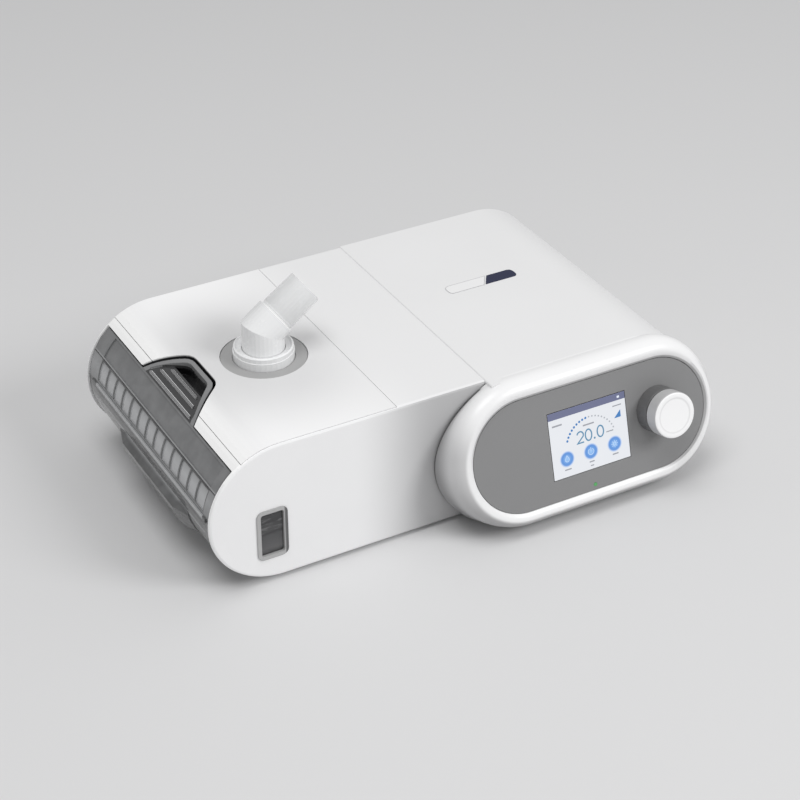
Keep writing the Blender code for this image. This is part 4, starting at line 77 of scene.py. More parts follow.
# %% Measure the parts
case_low, case_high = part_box("main_case")
shell_low, shell_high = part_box("humidifier_shell")
lid_low, lid_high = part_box("chamber_lid")
tub_low, tub_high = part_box("chamber_tub")
seam_x = (case_low.x + shell_high.x) / 2
front_y = shell_low.y
back_y = case_high.y
top_z = case_high.z
base_z = case_low.z
axis_z = (top_z + base_z) / 2
end_radius = (top_z - base_z) / 2
left_axis_x = shell_low.x + end_radius
right_axis_x = case_high.x - end_radius
LEAN = 74 * DEG
PANEL_SETBACK = 12.0 * MM
panel = Matrix.Translation((seam_x, front_y - PANEL_SETBACK, top_z)) @ Matrix.Rotation(LEAN, 4, "X")
GLASS_SINK = 0.7 * MM
notch_y = front_y + (back_y - front_y) * 0.496
port_low, port_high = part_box("port_collar")
port_x = (port_low.x + port_high.x) / 2
port_y = (port_low.y + port_high.y) / 2
print("seam at", round(seam_x / MM, 1), "mm, top at", round(top_z / MM, 1), "mm")

# %% [markdown]
# ## The camera
# The picture was taken from the front left, looking down. A camera could be placed by
# eye, but four lines of trigonometry put it at the measured angles and distance, and
# it can be checked against any edge of the machine.

# %% Place the camera
CAMERA_TURN = -29.007 * DEG
CAMERA_RISE = 33.228 * DEG
CAMERA_DISTANCE = 1150 * MM
FIELD_OF_VIEW = 22.067 * DEG
aim = Vector((-29.631, -48.391, 81.496)) * MM
level = math.cos(CAMERA_RISE)
toward = Vector((math.sin(CAMERA_TURN) * level, -math.cos(CAMERA_TURN) * level, math.sin(CAMERA_RISE)))
camera_data = bpy.data.cameras.new("camera")
camera_data.sensor_fit = "HORIZONTAL"
camera_data.angle = FIELD_OF_VIEW
camera_data.clip_end = 50
camera = bpy.data.objects.new("camera", camera_data)
camera.location = aim + toward * CAMERA_DISTANCE
camera.rotation_mode = "QUATERNION"
camera.rotation_quaternion = (-toward).to_track_quat("-Z", "Y")
bpy.context.scene.collection.objects.link(camera)
bpy.context.scene.camera = camera
print("camera at", [round(c / MM) for c in camera.location])

# %% [markdown]
# ## Shader arithmetic
# A finish is a small program made of nodes. Nodes could be placed and wired one by one,
# but then the thought behind them is lost. Here a value in the shader is wrapped in a
# small class, so `0.4 + noise * 0.1` reads as it would on paper and adds the Math nodes.


# %% A value that adds its own Math nodes
class Value:
    """One output socket of a finish. Sums and comparisons on it add Math nodes."""

    def __init__(self, finish, socket):
        self.finish = finish
        self.socket = socket

    def math(self, operation, *terms):
        return self.finish.node("ShaderNodeMath", {"operation": operation}, dict(enumerate(terms)))

    def __add__(self, other):
        return self.math("ADD", self, other)

    def __radd__(self, other):
        return self.math("ADD", other, self)

    def __sub__(self, other):
        return self.math("SUBTRACT", self, other)

    def __rsub__(self, other):
        return self.math("SUBTRACT", other, self)

    def __mul__(self, other):
        return self.math("MULTIPLY", self, other)

    def __rmul__(self, other):
        return self.math("MULTIPLY", other, self)

    def __truediv__(self, other):
        return self.math("DIVIDE", self, other)

    def __pow__(self, other):
        return self.math("POWER", self, other)

    def __gt__(self, other):
        return self.math("GREATER_THAN", self, other)

    def __lt__(self, other):
        return self.math("LESS_THAN", self, other)

    def size(self):
        return self.math("ABSOLUTE", self)

    def rise(self, low, high):
        """0 below low, 1 above high, and a smooth step between them."""
        sockets = {"Value": self, "From Min": low, "From Max": high}
        return self.finish.node("ShaderNodeMapRange", {"interpolation_type": "SMOOTHSTEP"}, sockets)


def pick(sockets, key):
    """A socket by its number, its identifier or its name."""
    if isinstance(key, int):
        return sockets[key]
    by_identifier = [s for s in sockets if s.identifier == key]
    return (by_identifier or [s for s in sockets if s.name == key])[0]


print("arithmetic on sockets is ready")


# %% A finish with one way to add a node
class Finish:
    """A material under construction."""

    def __init__(self, name):
        self.material = bpy.data.materials.new(name)
        self.material.use_nodes = True
        self.tree = self.material.node_tree
        self.tree.nodes.clear()

    def node(self, kind, settings=None, sockets=None, output=0):
        made = self.tree.nodes.new(kind)
        for key, value in (settings or {}).items():
            if key == "stops":
                self.set_stops(made.color_ramp, value)
            else:
                setattr(made, key, value)
        for key, value in (sockets or {}).items():
            if isinstance(value, Value):
                self.tree.links.new(value.socket, pick(made.inputs, key))
            else:
                pick(made.inputs, key).default_value = value
        return Value(self, pick(made.outputs, output))

    def set_stops(self, ramp, stops):
        while len(ramp.elements) < len(stops):
            ramp.elements.new(1.0)
        for element, (place, colour) in zip(ramp.elements, stops):
            element.position = place
            element.color = (*colour, 1.0)

    def place(self):
        return self.node("ShaderNodeTexCoord", output="Object")

    def axis(self, letter):
        return self.node("ShaderNodeSeparateXYZ", None, {"Vector": self.place()}, letter)

    def along(self, direction, start):
        """Distance along a direction from a start, both fixed."""
        sockets = {0: self.place(), 1: tuple(direction)}
        return self.node("ShaderNodeVectorMath", {"operation": "DOT_PRODUCT"}, sockets, "Value") - start.dot(direction)

    def stretched(self, scale):
        return self.node("ShaderNodeVectorMath", {"operation": "MULTIPLY"}, {0: self.place(), 1: scale})

    def noise(self, size, detail=2.0, vector=None):
        sockets = {"Vector": vector or self.place(), "Scale": 1 / size, "Detail": detail}
        return self.node("ShaderNodeTexNoise", None, sockets, "Fac")

    def ramp(self, share, stops):
        return self.node("ShaderNodeValToRGB", {"stops": stops}, {"Fac": share}, "Color")

    def mix(self, share, first, second):
        sockets = {"Factor_Float": share, "A_Color": rgba(first), "B_Color": rgba(second)}
        return self.node("ShaderNodeMix", {"data_type": "RGBA"}, sockets, "Result_Color")

    def bump(self, height, depth, normal=None):
        sockets = {"Height": height, "Distance": depth, "Strength": 1.0}
        if normal:
            sockets["Normal"] = normal
        return self.node("ShaderNodeBump", None, sockets, "Normal")

    def surface(self, sockets):
        shader = self.node("ShaderNodeBsdfPrincipled", None, {k: rgba(v) for k, v in sockets.items()})
        out = self.tree.nodes.new("ShaderNodeOutputMaterial")
        self.tree.links.new(shader.socket, out.inputs["Surface"])
        return self.material


def rgba(value):
    """A colour of three numbers gets its fourth. Anything else stays as it is."""
    if isinstance(value, tuple) and len(value) == 3:
        return (*value, 1.0)
    return value


print("finishes are ready")

# %% [markdown]
# ## Moulded plastic
# The covers are injection moulded, so their skin has a very fine spark-eroded grain and
# the colour drifts slightly from one end to the other. One flat colour would look like
# paper. Three noises do it: a wide one for the colour, a middle one for the sheen and
# a fine one for the grain. A bevel node softens the normals at sharp edges, because a
# moulding has no perfectly sharp edge to catch the light.


# %% Moulded plastic
def tint(colour, share):
    return tuple(channel * share for channel in colour)


def moulded(name, colour, roughness, grain=0.45 * MM, depth=0.004 * MM, edge=0.0, shade=None):
    finish = Finish(name)
    drift = finish.noise(70 * MM, 3.0)
    tone = finish.mix(drift, tint(colour, 0.975), tint(colour, 1.02))
    if shade:
        tone = shade(finish, tone)
    sheen = roughness + (finish.noise(11 * MM, 3.0) - 0.5) * 0.1
    rounding = finish.node("ShaderNodeBevel", {"samples": 4}, {"Radius": edge}) if edge else None
    skin = finish.bump(finish.noise(grain, 2.0), depth, rounding)
    return finish.surface({"Base Color": tone, "Roughness": sheen, "Normal": skin})


WHITE = (0.85, 0.85, 0.855)
# white_shell is WHITE made a little darker: painted shade on the main case's white plastic.
white_shell = moulded("white_shell", tint(WHITE, 0.965), 0.36)
grey_fascia = moulded("grey_fascia", (0.247, 0.247, 0.25), 0.42, 0.3 * MM, 0.006 * MM)
grey_ring = moulded("grey_ring", (0.38, 0.38, 0.38), 0.38, edge=0.3 * MM)
grey_inner = moulded("grey_inner", (0.4, 0.41, 0.42), 0.5)
# The knob's collar is darker than the fascia's grey, partly its own darker grey and partly painted shade.
dark_collar = moulded("dark_collar", (0.13, 0.13, 0.132), 0.45)
black_moulding = moulded("black_moulding", (0.022, 0.022, 0.024), 0.45, 0.5 * MM, 0.01 * MM)
print("mouldings:", white_shell.name, grey_fascia.name, grey_ring.name)

# %% [markdown]
# Three mouldings have painted light and shade in their colour. Inside the grip notch the
# wall is painted dark, as painted shade where hardly any light gets between it and the
# chamber. The humidifier's shell has a painted highlight on its top beside the chamber
# and painted shade on its top round the air port. The pod is painted white on its
# chamfer and greyer on its shoulder and root as painted shade, and a painted shadow of
# it lies on the front beside it. The window's frame is painted darker at its right edge.
# These shades could come from lamps, but then they would fall on everything else too.


# %% Mouldings that change colour over their length
def shell_painted_light_and_shade(finish, tone):
    """Painted light and shade on the humidifier's shell: a painted highlight on the top beside the chamber, painted
    shade on the top round the air port and towards the right, a painted shadow of the pod on the front beside it, and
    painted shade that makes the notch wall near black below the skin.
    """
    across = finish.axis("X") - left_axis_x
    up = finish.axis("Z") - axis_z
    depth = end_radius - (across * across + up * up) ** 0.5
    y = finish.axis("Y")
    beside = (y - notch_y).size() < 45 * MM
    near = beside * (across < -1 * MM) * (across > -33 * MM) * (up > 24 * MM)
    on_front = y < front_y + 0.4 * MM
    top = up.rise(34 * MM, 43 * MM) * (1 - on_front)
    from_port = ((finish.axis("X") - port_x) ** 2 + (y - port_y) ** 2) ** 0.5
    # painted shade on the top round the air port
    tone = finish.mix(top * (1 - from_port.rise(24 * MM, 95 * MM)), tone, (0.7, 0.7, 0.705))
    # painted shade on the top towards the right
    tone = finish.mix(top * across.rise(30 * MM, 100 * MM), tone, (0.82, 0.82, 0.825))
    # painted highlight: the top beside the chamber is made near white
    strip = (1 - on_front) * (up > 28 * MM) * (1 - across.rise(-22 * MM, -9 * MM))
    tone = finish.mix(strip, tone, (0.99, 0.99, 0.99))
    # painted shadow of the pod on the front beside it
    pod_shade = on_front * (finish.axis("X") - seam_x).rise(-85 * MM, -28 * MM)
    tone = finish.mix(pod_shade * 0.72, tone, (0.36, 0.36, 0.365))
    # painted shade: the notch wall below the skin is made near black
    return finish.mix(near * depth.rise(0.4 * MM, 1.1 * MM), tone, (0.02, 0.02, 0.022))


FASCIA_HALF = 33.7 * MM
FASCIA_LEFT = -20.3 * MM
FASCIA_RIGHT = 137.1 * MM
FASCIA_MIDDLE = -43.4 * MM


def flank_shade(finish, tone):
    """Painted shade on the pod: white on its crest and lower chamfer, painted grey on its shoulder and upper right
    chamfer, and painted darker towards its root at the left and in the crease at the root.
    """
    along_x, up_slope, out = panel.to_3x3().transposed()
    across = finish.along(along_x, panel.translation)
    past_left = (FASCIA_LEFT + FASCIA_HALF - across).math("MAXIMUM", FASCIA_LEFT + FASCIA_HALF - across, 0)
    past_right = (across - (FASCIA_RIGHT - FASCIA_HALF)).math("MAXIMUM", across - (FASCIA_RIGHT - FASCIA_HALF), 0)
    aside = past_left + past_right
    rise = finish.along(up_slope, panel.translation) - FASCIA_MIDDLE
    radius = (aside * aside + rise * rise) ** 0.5
    depth = finish.along(out, panel.translation)
    shoulder = radius.rise(FASCIA_HALF + 4.0 * MM, FASCIA_HALF + 6.5 * MM) * (1 - (rise / radius).rise(0.2, 0.8))
    below = 1 - (rise / radius).rise(-0.95, 0.1)
    tone = finish.mix(shoulder, tone, finish.mix(below, (0.6, 0.6, 0.605), (0.42, 0.42, 0.424)))
    upper_right = across.math("MAXIMUM", (rise / radius).rise(-0.1, 0.7), across.rise(95 * MM, 130 * MM))
    chamfer = 1 - radius.rise(FASCIA_HALF + 1.2 * MM, FASCIA_HALF + 2.0 * MM)
    tone = finish.mix(chamfer * upper_right, tone, (0.45, 0.45, 0.454))
    left = 1 - across.rise(-14 * MM, 24 * MM)
    tone = finish.mix((1 - depth.rise(-22 * MM, -5 * MM)) * left * 0.8, tone, (0.31, 0.31, 0.314))
    # painted shade: a dark line in the crease where the pod meets the body
    crease = finish.axis("Y").rise(front_y - 2.4 * MM, front_y - 0.8 * MM) * (1 - across.rise(-5 * MM, -2 * MM))
    return finish.mix(crease, tone, (0.08, 0.08, 0.082))


# Painted shade: the window frame is made darker along its right edge.
def frame_shade(finish, tone):
    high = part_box("window_frame")[1]
    return finish.mix(finish.axis("X").rise(high.x - 2.4 * MM, high.x - 1.2 * MM), tone, (0.12, 0.12, 0.122))


# white_notched is WHITE made lighter, as painted light, and carries the shell's painted light and shade; white_pod
# carries the pod's painted shade.
white_notched = moulded("white_notched", tint(WHITE, 1.1), 0.36, shade=shell_painted_light_and_shade)
white_pod = moulded("white_pod", (0.87, 0.87, 0.875), 0.3, shade=flank_shade)
window_ring = moulded("window_ring", (0.46, 0.46, 0.46), 0.35, edge=0.5 * MM, shade=frame_shade)
print("shaded mouldings:", white_notched.name, white_pod.name, window_ring.name)

# %% [markdown]
# ## The smoky water chamber
# The chamber is clear plastic tinted grey. Light gathers in its edges, and that light is
# painted: rims and ribs get pale painted highlights while the flat faces are painted
# darker. It could be pure glass, but the picture shows a soft, milky part that hides
# what is behind it. So it is a solid grey with a little see-through. The distance from
# the round end's axis tells the sunk faces from the rims, and the angle about that axis
# places the painted highlight lines and the dark lines of painted shade between them.


# %% Where a point is on the round end
def round_end(finish, part):
    """Place across, height, radius, and degrees from the top, about the round end's axis."""
    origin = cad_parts[part].matrix_world.translation
    across = finish.axis("X") + (origin.x - left_axis_x)
    up = finish.axis("Z") + (origin.z - axis_z)
    radius = (across * across + up * up) ** 0.5
    return across, up, radius, across.math("ARCTAN2", across * -1, up) / DEG


def behind_front(finish, part):
    """Distance behind the chamber's front end."""
    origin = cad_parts[part].matrix_world.translation
    return finish.axis("Y") + (origin.y - lid_low.y)


def grey_stops(places):
    """Ramp stops from pairs of degrees and a grey."""
    return [(degrees / 180, (grey * 0.985, grey, grey * 1.02)) for degrees, grey in places]


CHAMBER_INSET = 1.0 * MM
chamber_radius = end_radius - CHAMBER_INSET
chamber_length = lid_high.y - lid_low.y
FRONT_RIM = 8.0 * MM
REAR_RIM = 12.9 * MM
FIRST_TURN = 39.0
LAST_TURN = 126.0
print("chamber radius:", round(chamber_radius / MM, 1), "mm, length:", round(chamber_length / MM, 1), "mm")


# %% Smoky plastic
def smoky(name, part, sink, face_stops, rim_stops, end_stops, scoop=None):
    finish = Finish(name)
    across, up, radius, turn = round_end(finish, part)
    half_turn = turn / 180
    y = behind_front(finish, part)
    middle = y.rise(FRONT_RIM - 0.5 * MM, FRONT_RIM) * (1 - y.rise(chamber_length - REAR_RIM, chamber_length - REAR_RIM + 0.5 * MM))
    # The ramps by angle hold painted highlight lines and dark lines of painted shade along the rims.
    rim = finish.mix(middle, finish.ramp(half_turn, grey_stops(end_stops)), finish.ramp(half_turn, grey_stops(rim_stops)))
    raised = radius.rise(chamber_radius - sink, chamber_radius - sink / 3)
    tone = finish.mix(raised, finish.ramp(half_turn, grey_stops(face_stops)), rim)
    # painted shade: the chamber's front edge is made near black
    tone = finish.mix(1 - y.rise(1.0 * MM, 1.7 * MM), tone, (0.02, 0.02, 0.021))
    outside = (radius > chamber_radius - 5 * MM) * (turn > FIRST_TURN) * (turn < LAST_TURN)
    tone = finish.mix(outside, (0.2, 0.202, 0.205), tone)
    cloud = finish.noise(9 * MM, 4.0)
    tone = finish.mix(cloud.rise(0.3, 0.75) * 0.13, tone, (0.5, 0.505, 0.51))
    if scoop:
        tone = scoop(finish, tone, across, up, y)
    rounding = finish.node("ShaderNodeBevel", {"samples": 4}, {"Radius": 0.6 * MM})
    skin = finish.bump(finish.noise(3 * MM, 2.0), 0.01 * MM, rounding)
    sheen = 0.14 + finish.noise(6 * MM, 2.0) * 0.1
    return finish.surface({"Base Color": tone, "Roughness": sheen, "Normal": skin, "Alpha": 0.94,
                           "Coat Weight": 0.4, "Coat Roughness": 0.08})


def thumb_scoop(finish, tone, across, up, y):
    """Painted light and shade in the thumb scoop: a dark sloping pad and a near-black pocket as painted shade, painted
    highlights on the tops of three ribs, and a painted pale highlight on the pocket's rim.
    """
    inward = across + 28.2 * MM
    pad = (chamber_radius * chamber_radius - across * across) ** 0.5 - inward * (2.4 / 13.5)
    lift = up - pad
    aside = (y + (lid_low.y - notch_y)).size()
    ribbed = aside < 29.6 * MM - inward * 1.16
    rib = ribbed * lift.rise(0.14 * MM, 0.3 * MM) * (lift < 0.75 * MM)
    from_middle = (inward - 1.8 * MM).math("PINGPONG", inward - 1.8 * MM, 2.25 * MM)
    painted_rib_highlight = finish.mix(from_middle > 0.42 * MM, (0.25, 0.252, 0.256), (0.8, 0.805, 0.81))
    rim = lift.math("MAXIMUM", aside > 31.4 * MM - inward * 0.82, lift.rise(0.7 * MM, 1.1 * MM))
    inside = finish.mix(lift.rise(-1.4 * MM, -0.3 * MM), (0.008, 0.008, 0.009), (0.05, 0.05, 0.052))
    inside = finish.mix(rim * lift.rise(-2.5 * MM, -0.5 * MM), inside, (0.25, 0.252, 0.257))
    inside = finish.mix(rib, inside, painted_rib_highlight)
    return finish.mix(inward.rise(0, 0.4 * MM), tone, inside)


# Greys by degrees: the palest stops are painted highlights on rims, lip and grip edge, and the near-black ones are
# painted shade at gaps and on the tub's lower face.
lid_face = ((40, 0.16), (44, 0.18), (60, 0.2))
lid_rim = ((40.4, 0.03), (41.0, 0.2), (42.2, 0.2), (59.6, 0.2), (60.1, 0.04), (60.4, 0.36), (61.3, 0.36))
lid_end = ((40.4, 0.04), (41.2, 0.2), (60.2, 0.2), (60.6, 0.4), (61.4, 0.4))
tub_face = ((62, 0.32), (71, 0.48), (80.6, 0.44), (87, 0.08), (97, 0.06), (124, 0.07))
tub_rim = ((61.8, 0.04), (62.6, 0.04), (63.0, 0.12), (80.6, 0.12), (81.2, 0.2), (82.8, 0.2), (83.1, 0.03), (83.6, 0.55),
           (85.6, 0.4), (86.9, 0.12), (87.2, 0.03), (88.4, 0.07), (97.8, 0.08), (98.4, 0.45), (100.2, 0.09), (124, 0.07))
tub_end = ((61.8, 0.04), (62.6, 0.26), (70, 0.32), (83.0, 0.2), (83.5, 0.06), (90, 0.14), (124, 0.12))
smoke_lid = smoky("smoke_lid", "chamber_lid", 0.75 * MM, lid_face, lid_rim, lid_end, thumb_scoop)
smoke_tub = smoky("smoke_tub", "chamber_tub", 0.6 * MM, tub_face, tub_rim, tub_end)
print("chamber finishes:", smoke_lid.name, smoke_tub.name)

# %% [markdown]
# ## The clear elbow
# The elbow and its collar are milky white, and the thin cone that takes the hose lets
# more light through than the thick bend. Two materials would leave a hard line, so one
# finish fades its alpha along the cone's own direction.

# %% Milky clear plastic
ELBOW_TILT = 36.5 * DEG
BEND_HEIGHT = 17.2 * MM
SHOULDER = 11.5 * MM


def milky(name, part, thin_alpha):
    finish = Finish(name)
    middle = Vector((port_x, port_y, top_z + BEND_HEIGHT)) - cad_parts[part].matrix_world.translation
    out = Vector((math.cos(ELBOW_TILT), 0, math.sin(ELBOW_TILT)))
    along = finish.node("ShaderNodeVectorMath", {"operation": "DOT_PRODUCT"},
                        {0: finish.place(), 1: tuple(out)}, "Value") - middle.dot(out)
    thin = along.rise(SHOULDER, SHOULDER + 2 * MM)
    alpha = 0.97 - thin * (0.97 - thin_alpha)
    tone = finish.mix(finish.noise(14 * MM), (0.85, 0.855, 0.86), (0.89, 0.895, 0.9))
    skin = finish.bump(finish.noise(2.5 * MM), 0.008 * MM)
    sheen = 0.2 + finish.noise(5 * MM) * 0.12
    return finish.surface({"Base Color": tone, "Roughness": sheen, "Alpha": alpha, "Normal": skin,
                           "Coat Weight": 0.3, "Coat Roughness": 0.1})


milky_elbow = milky("milky_elbow", "elbow", 0.55)
milky_collar = milky("milky_collar", "port_collar", 0.97)
print("clear finishes:", milky_elbow.name, milky_collar.name)

# %% [markdown]
# ## Rubber, metal, foam and boards
# These parts are seen underneath, at the back and when the machine is taken apart.
# Each gets the one thing that tells it apart: rubber is speckled and dull, spun and
# brushed metal has long scratches, foam has open pores, and a circuit board has tracks.


# %% Rubber, metal and foam
def rubber(name, colour):
    finish = Finish(name)
    speckle = finish.noise(0.8 * MM, 4.0)
    tone = finish.mix(speckle, tint(colour, 0.8), tint(colour, 1.5))
    skin = finish.bump(speckle, 0.03 * MM)
    return finish.surface({"Base Color": tone, "Roughness": 0.68 + speckle * 0.2, "Normal": skin})


def brushed(name, colour, roughness, scale):
    finish = Finish(name)
    scratches = finish.noise(1.0, 3.0, finish.stretched(scale))
    tone = finish.mix(scratches, tint(colour, 0.85), tint(colour, 1.05))
    skin = finish.bump(scratches, 0.01 * MM)
    return finish.surface({"Base Color": tone, "Metallic": 1.0, "Normal": skin,
                           "Roughness": roughness + (scratches - 0.5) * 0.2})


def foam(name, colour):
    finish = Finish(name)
    pores = finish.node("ShaderNodeTexVoronoi", None, {"Vector": finish.place(), "Scale": 1 / (1.1 * MM)}, "Distance")
    # The pores are painted darker, as painted shade in them.
    tone = finish.mix(pores, tint(colour, 0.45), colour)
    return finish.surface({"Base Color": tone, "Roughness": 0.95, "Normal": finish.bump(pores, 0.4 * MM)})


black_rubber = rubber("black_rubber", (0.035, 0.035, 0.037))
grey_silicone = rubber("grey_silicone", (0.22, 0.225, 0.23))
aluminium = brushed("aluminium", (0.72, 0.73, 0.74), 0.34, (20, 1500, 20))
steel = brushed("steel", (0.6, 0.6, 0.61), 0.28, (900, 900, 60))
filter_foam = foam("filter_foam", (0.55, 0.56, 0.56))
print("soft and metal finishes:", black_rubber.name, aluminium.name, filter_foam.name)


# %% Circuit board
def board(name, under, chip_share):
    """Tracks and gold pads on green, and black chips below a given height."""
    finish = Finish(name)
    cells = finish.node("ShaderNodeTexVoronoi", {"distance": "CHEBYCHEV"},
                        {"Vector": finish.place(), "Scale": 1 / (3.2 * MM), "Randomness": 0.6}, "Distance")
    track = (cells.math("PINGPONG", cells, 0.09) > 0.065) * 1.0
    pads = finish.node("ShaderNodeTexVoronoi", None,
                       {"Vector": finish.place(), "Scale": 1 / (5 * MM), "Randomness": 0.9}, "Distance") < 0.12
    green = finish.mix(track, (0.012, 0.1, 0.04), (0.03, 0.24, 0.1))
    tone = finish.mix(pads, green, (0.8, 0.58, 0.24))
    chip = finish.axis("Z") < under
    tone = finish.mix(chip * chip_share, tone, (0.015, 0.015, 0.017))
    return finish.surface({"Base Color": tone, "Roughness": 0.4 + track * 0.08, "Metallic": pads * (1 - chip * chip_share),
                           "Normal": finish.bump(track + pads, 0.03 * MM)})


board_low, board_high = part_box("main_board")
BOARD_THICKNESS = 1.6 * MM
main_board_finish = board("main_board_tracks", board_high.z - BOARD_THICKNESS - 0.05 * MM, 1.0)
display_board_finish = board("display_board_tracks", 0.0, 0.0)
print("board finishes:", main_board_finish.name, display_board_finish.name)

# %% [markdown]
# ## Glass and light
# The level window is dark glass over water. The pale bands that the water's surface
# bends the light into are painted on the glass as painted reflections. The display's
# glass is plain black. The status light glows green. Emission is used only where the
# real part gives light.


# %% Window, display glass and light
def dark_window():
    finish = Finish("dark_window")
    bent = finish.noise(8 * MM, 2.0, finish.stretched((1, 1, 2.4)))
    height = (finish.axis("Z") - window_low.z) / (window_high.z - window_low.z) + (bent - 0.5) * 0.12
    # painted reflections: the tone steps between darker and paler bands by height
    tone = finish.ramp(height, ((0.03, (0.05, 0.05, 0.052)), (0.12, (0.1, 0.1, 0.103)), (0.42, (0.07, 0.07, 0.073)),
                                (0.5, (0.03, 0.03, 0.032)), (0.58, (0.06, 0.06, 0.062)), (0.7, (0.045, 0.045, 0.047)),
                                (0.78, (0.03, 0.03, 0.032)), (0.9, (0.04, 0.04, 0.042)), (0.97, (0.02, 0.02, 0.022))))
    # painted reflections of the water's surface in the window's upper half
    painted_water_light = finish.noise(4.5 * MM, 4.0, finish.stretched((0.6, 1, 2.6)))
    upper = height.rise(0.4, 0.5) * (1 - height.rise(0.84, 0.92))
    tone = finish.mix(painted_water_light.rise(0.48, 0.68) * upper * 0.8, tone, (0.15, 0.15, 0.154))
    return finish.surface({"Base Color": tone, "Roughness": 0.2 + bent * 0.04, "Coat Weight": 0.15,
                           "Coat Roughness": 0.05})


def glow(name, colour, strength, base=(0.02, 0.02, 0.02)):
    """A lit surface that is slightly uneven, as a backlight is."""
    finish = Finish(name)
    shade = finish.mix(finish.noise(16 * MM), tint(colour, 0.97), colour)
    return finish.surface({"Base Color": base, "Roughness": 0.3, "Emission Color": shade,
                           "Emission Strength": strength})


window_low, window_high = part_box("window_lens")
window_glass = dark_window()
black_glass = moulded("black_glass", (0.012, 0.012, 0.014), 0.09, 2 * MM, 0.002 * MM)
green_light = glow("green_light", (0.12, 0.55, 0.16), 0.2, (0.08, 0.3, 0.1))
print("window from", round(window_low.z / MM, 1), "to", round(window_high.z / MM, 1), "mm")

# %% [markdown]
# ## Dressing the loaded parts
# Every loaded part keeps its shape and takes a finish in its material slots. A table
# from finish to part names is the shortest way, and a check that no part was missed is
# one line.

# %% Give each part its finish
dress = {
    white_shell: ["humidifier_base", "main_case", "main_base", "rear_panel", "filter_cover", "card_door", "impeller",
                  "port_deck", "bay_bulkhead", "dock_wall", "dock_plate"],
    white_notched: ["humidifier_shell", "humidifier_cover"],
    white_pod: ["front_bezel", "knob"],
    grey_fascia: ["front_fascia"],
    grey_ring: ["port_bezel"],
    window_ring: ["window_frame"],
    grey_inner: ["transfer_duct", "blower_base", "blower_cover"],
    dark_collar: ["knob_collar"],
    black_moulding: ["dock_plug", "dock_socket", "dc_inlet", "encoder_slider"],
    smoke_lid: ["chamber_lid"],
    smoke_tub: ["chamber_tub"],
    milky_elbow: ["elbow"],
    milky_collar: ["port_collar"],
    black_rubber: [f"rubber_foot_{i}" for i in range(1, 9)] + ["heater_insulator"],
    grey_silicone: ["port_seal", "chamber_seal", "dock_seal", "blower_outlet"]
    + [f"blower_mount_{i}" for i in range(1, 4)],
    aluminium: ["chamber_plate", "heater_plate", "display_module", "card_reader"],
    steel: ["encoder_body", "encoder_shaft", "motor", "motor_shaft"],
    filter_foam: ["air_filter"],
    main_board_finish: ["main_board"],
    display_board_finish: ["display_board"],
    window_glass: ["window_lens"],
    black_glass: ["display_window"],
    green_light: ["status_led"],
}
dressed = set()
for finish_material, names in dress.items():
    for name in names:
        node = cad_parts[name]
        if not node.material_slots:
            node.data.materials.append(finish_material)
        for slot in node.material_slots:
            slot.material = finish_material
        dressed.add(name)
print("dressed", len(dressed), "parts, missed:", sorted(set(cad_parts) - dressed))

# %% [markdown]
# ## Tools for small pieces
# The small pieces are thin plates, strokes of a pen and turned forms. Each could be a
# stretched cube or cylinder, but their outlines carry the shape, so three helpers make
# a mesh from an outline, from a line with a width, and from a turned profile.


# %% Plates, strokes and turned forms
def piece(name, shape, material, body, place=None, smooth=False):
    mesh = bpy.data.meshes.new(name)
    bmesh.ops.recalc_face_normals(shape, faces=shape.faces)
    shape.to_mesh(mesh)
    shape.free()
    mesh.materials.append(material)
    if smooth:
        mesh.shade_smooth()
        mesh.set_sharp_from_angle(angle=35 * DEG)
    made = bpy.data.objects.new(name, mesh)
    bpy.context.scene.collection.objects.link(made)
    made.matrix_world = place or Matrix.Identity(4)
    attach(made, body)
    return made


def plate(shape, outline, low, high):
    """Adds a plate with a given outline, from low to high."""
    under = [shape.verts.new((x, y, low)) for x, y in outline]
    over = [shape.verts.new((x, y, high)) for x, y in outline]
    shape.faces.new(under[::-1])
    shape.faces.new(over)
    count = len(outline)
    for i in range(count):
        j = (i + 1) % count
        shape.faces.new((under[i], under[j], over[j], over[i]))
    return shape


def ring_points(centre, radius, count, start=0.0, end=math.tau):
    closed = abs(end - start - math.tau) < 1e-6
    steps = count if closed else count - 1
    turns = [start + (end - start) * i / steps for i in range(count)]
    return [(centre[0] + radius * math.cos(t), centre[1] + radius * math.sin(t)) for t in turns]


print("plates are ready")


# %% Strokes and turned forms
def stroke(shape, points, width, low, high, closed=False):
    """Adds a line of even width with mitred corners."""
    path = [Vector(p) for p in points]
    count = len(path)
    left, right = [], []
    for i in range(count):
        before = path[i - 1] if closed or i > 0 else path[i] * 2 - path[i + 1]
        after = path[(i + 1) % count] if closed or i < count - 1 else path[i] * 2 - path[i - 1]
        into = (path[i] - before).normalized()
        out = (after - path[i]).normalized()
        middle = (into + out).normalized()
        side = Vector((-middle.y, middle.x)) * width / 2 / max(middle.dot(into), 0.4)
        left.append(path[i] + side)
        right.append(path[i] - side)
    for i in range(count if closed else count - 1):
        j = (i + 1) % count
        plate(shape, [left[i], right[i], right[j], left[j]], low, high)
    return shape


def turned(shape, profile, sides, centre=(0, 0)):
    """Adds a form turned about Z from (radius, height) pairs, closed at the axis or into a ring."""
    rings = []
    for radius, height in profile:
        if radius == 0:
            rings.append([shape.verts.new((centre[0], centre[1], height))] * sides)
        else:
            circle = ring_points(centre, radius, sides)
            rings.append([shape.verts.new((x, y, height)) for x, y in circle])
    pairs = list(zip(rings, rings[1:]))
    if profile[0][0] and profile[-1][0]:
        pairs.append((rings[-1], rings[0]))
    for one, two in pairs:
        for i in range(sides):
            j = (i + 1) % sides
            corners = list(dict.fromkeys((one[i], one[j], two[j], two[i])))
            shape.faces.new(corners)
    return shape


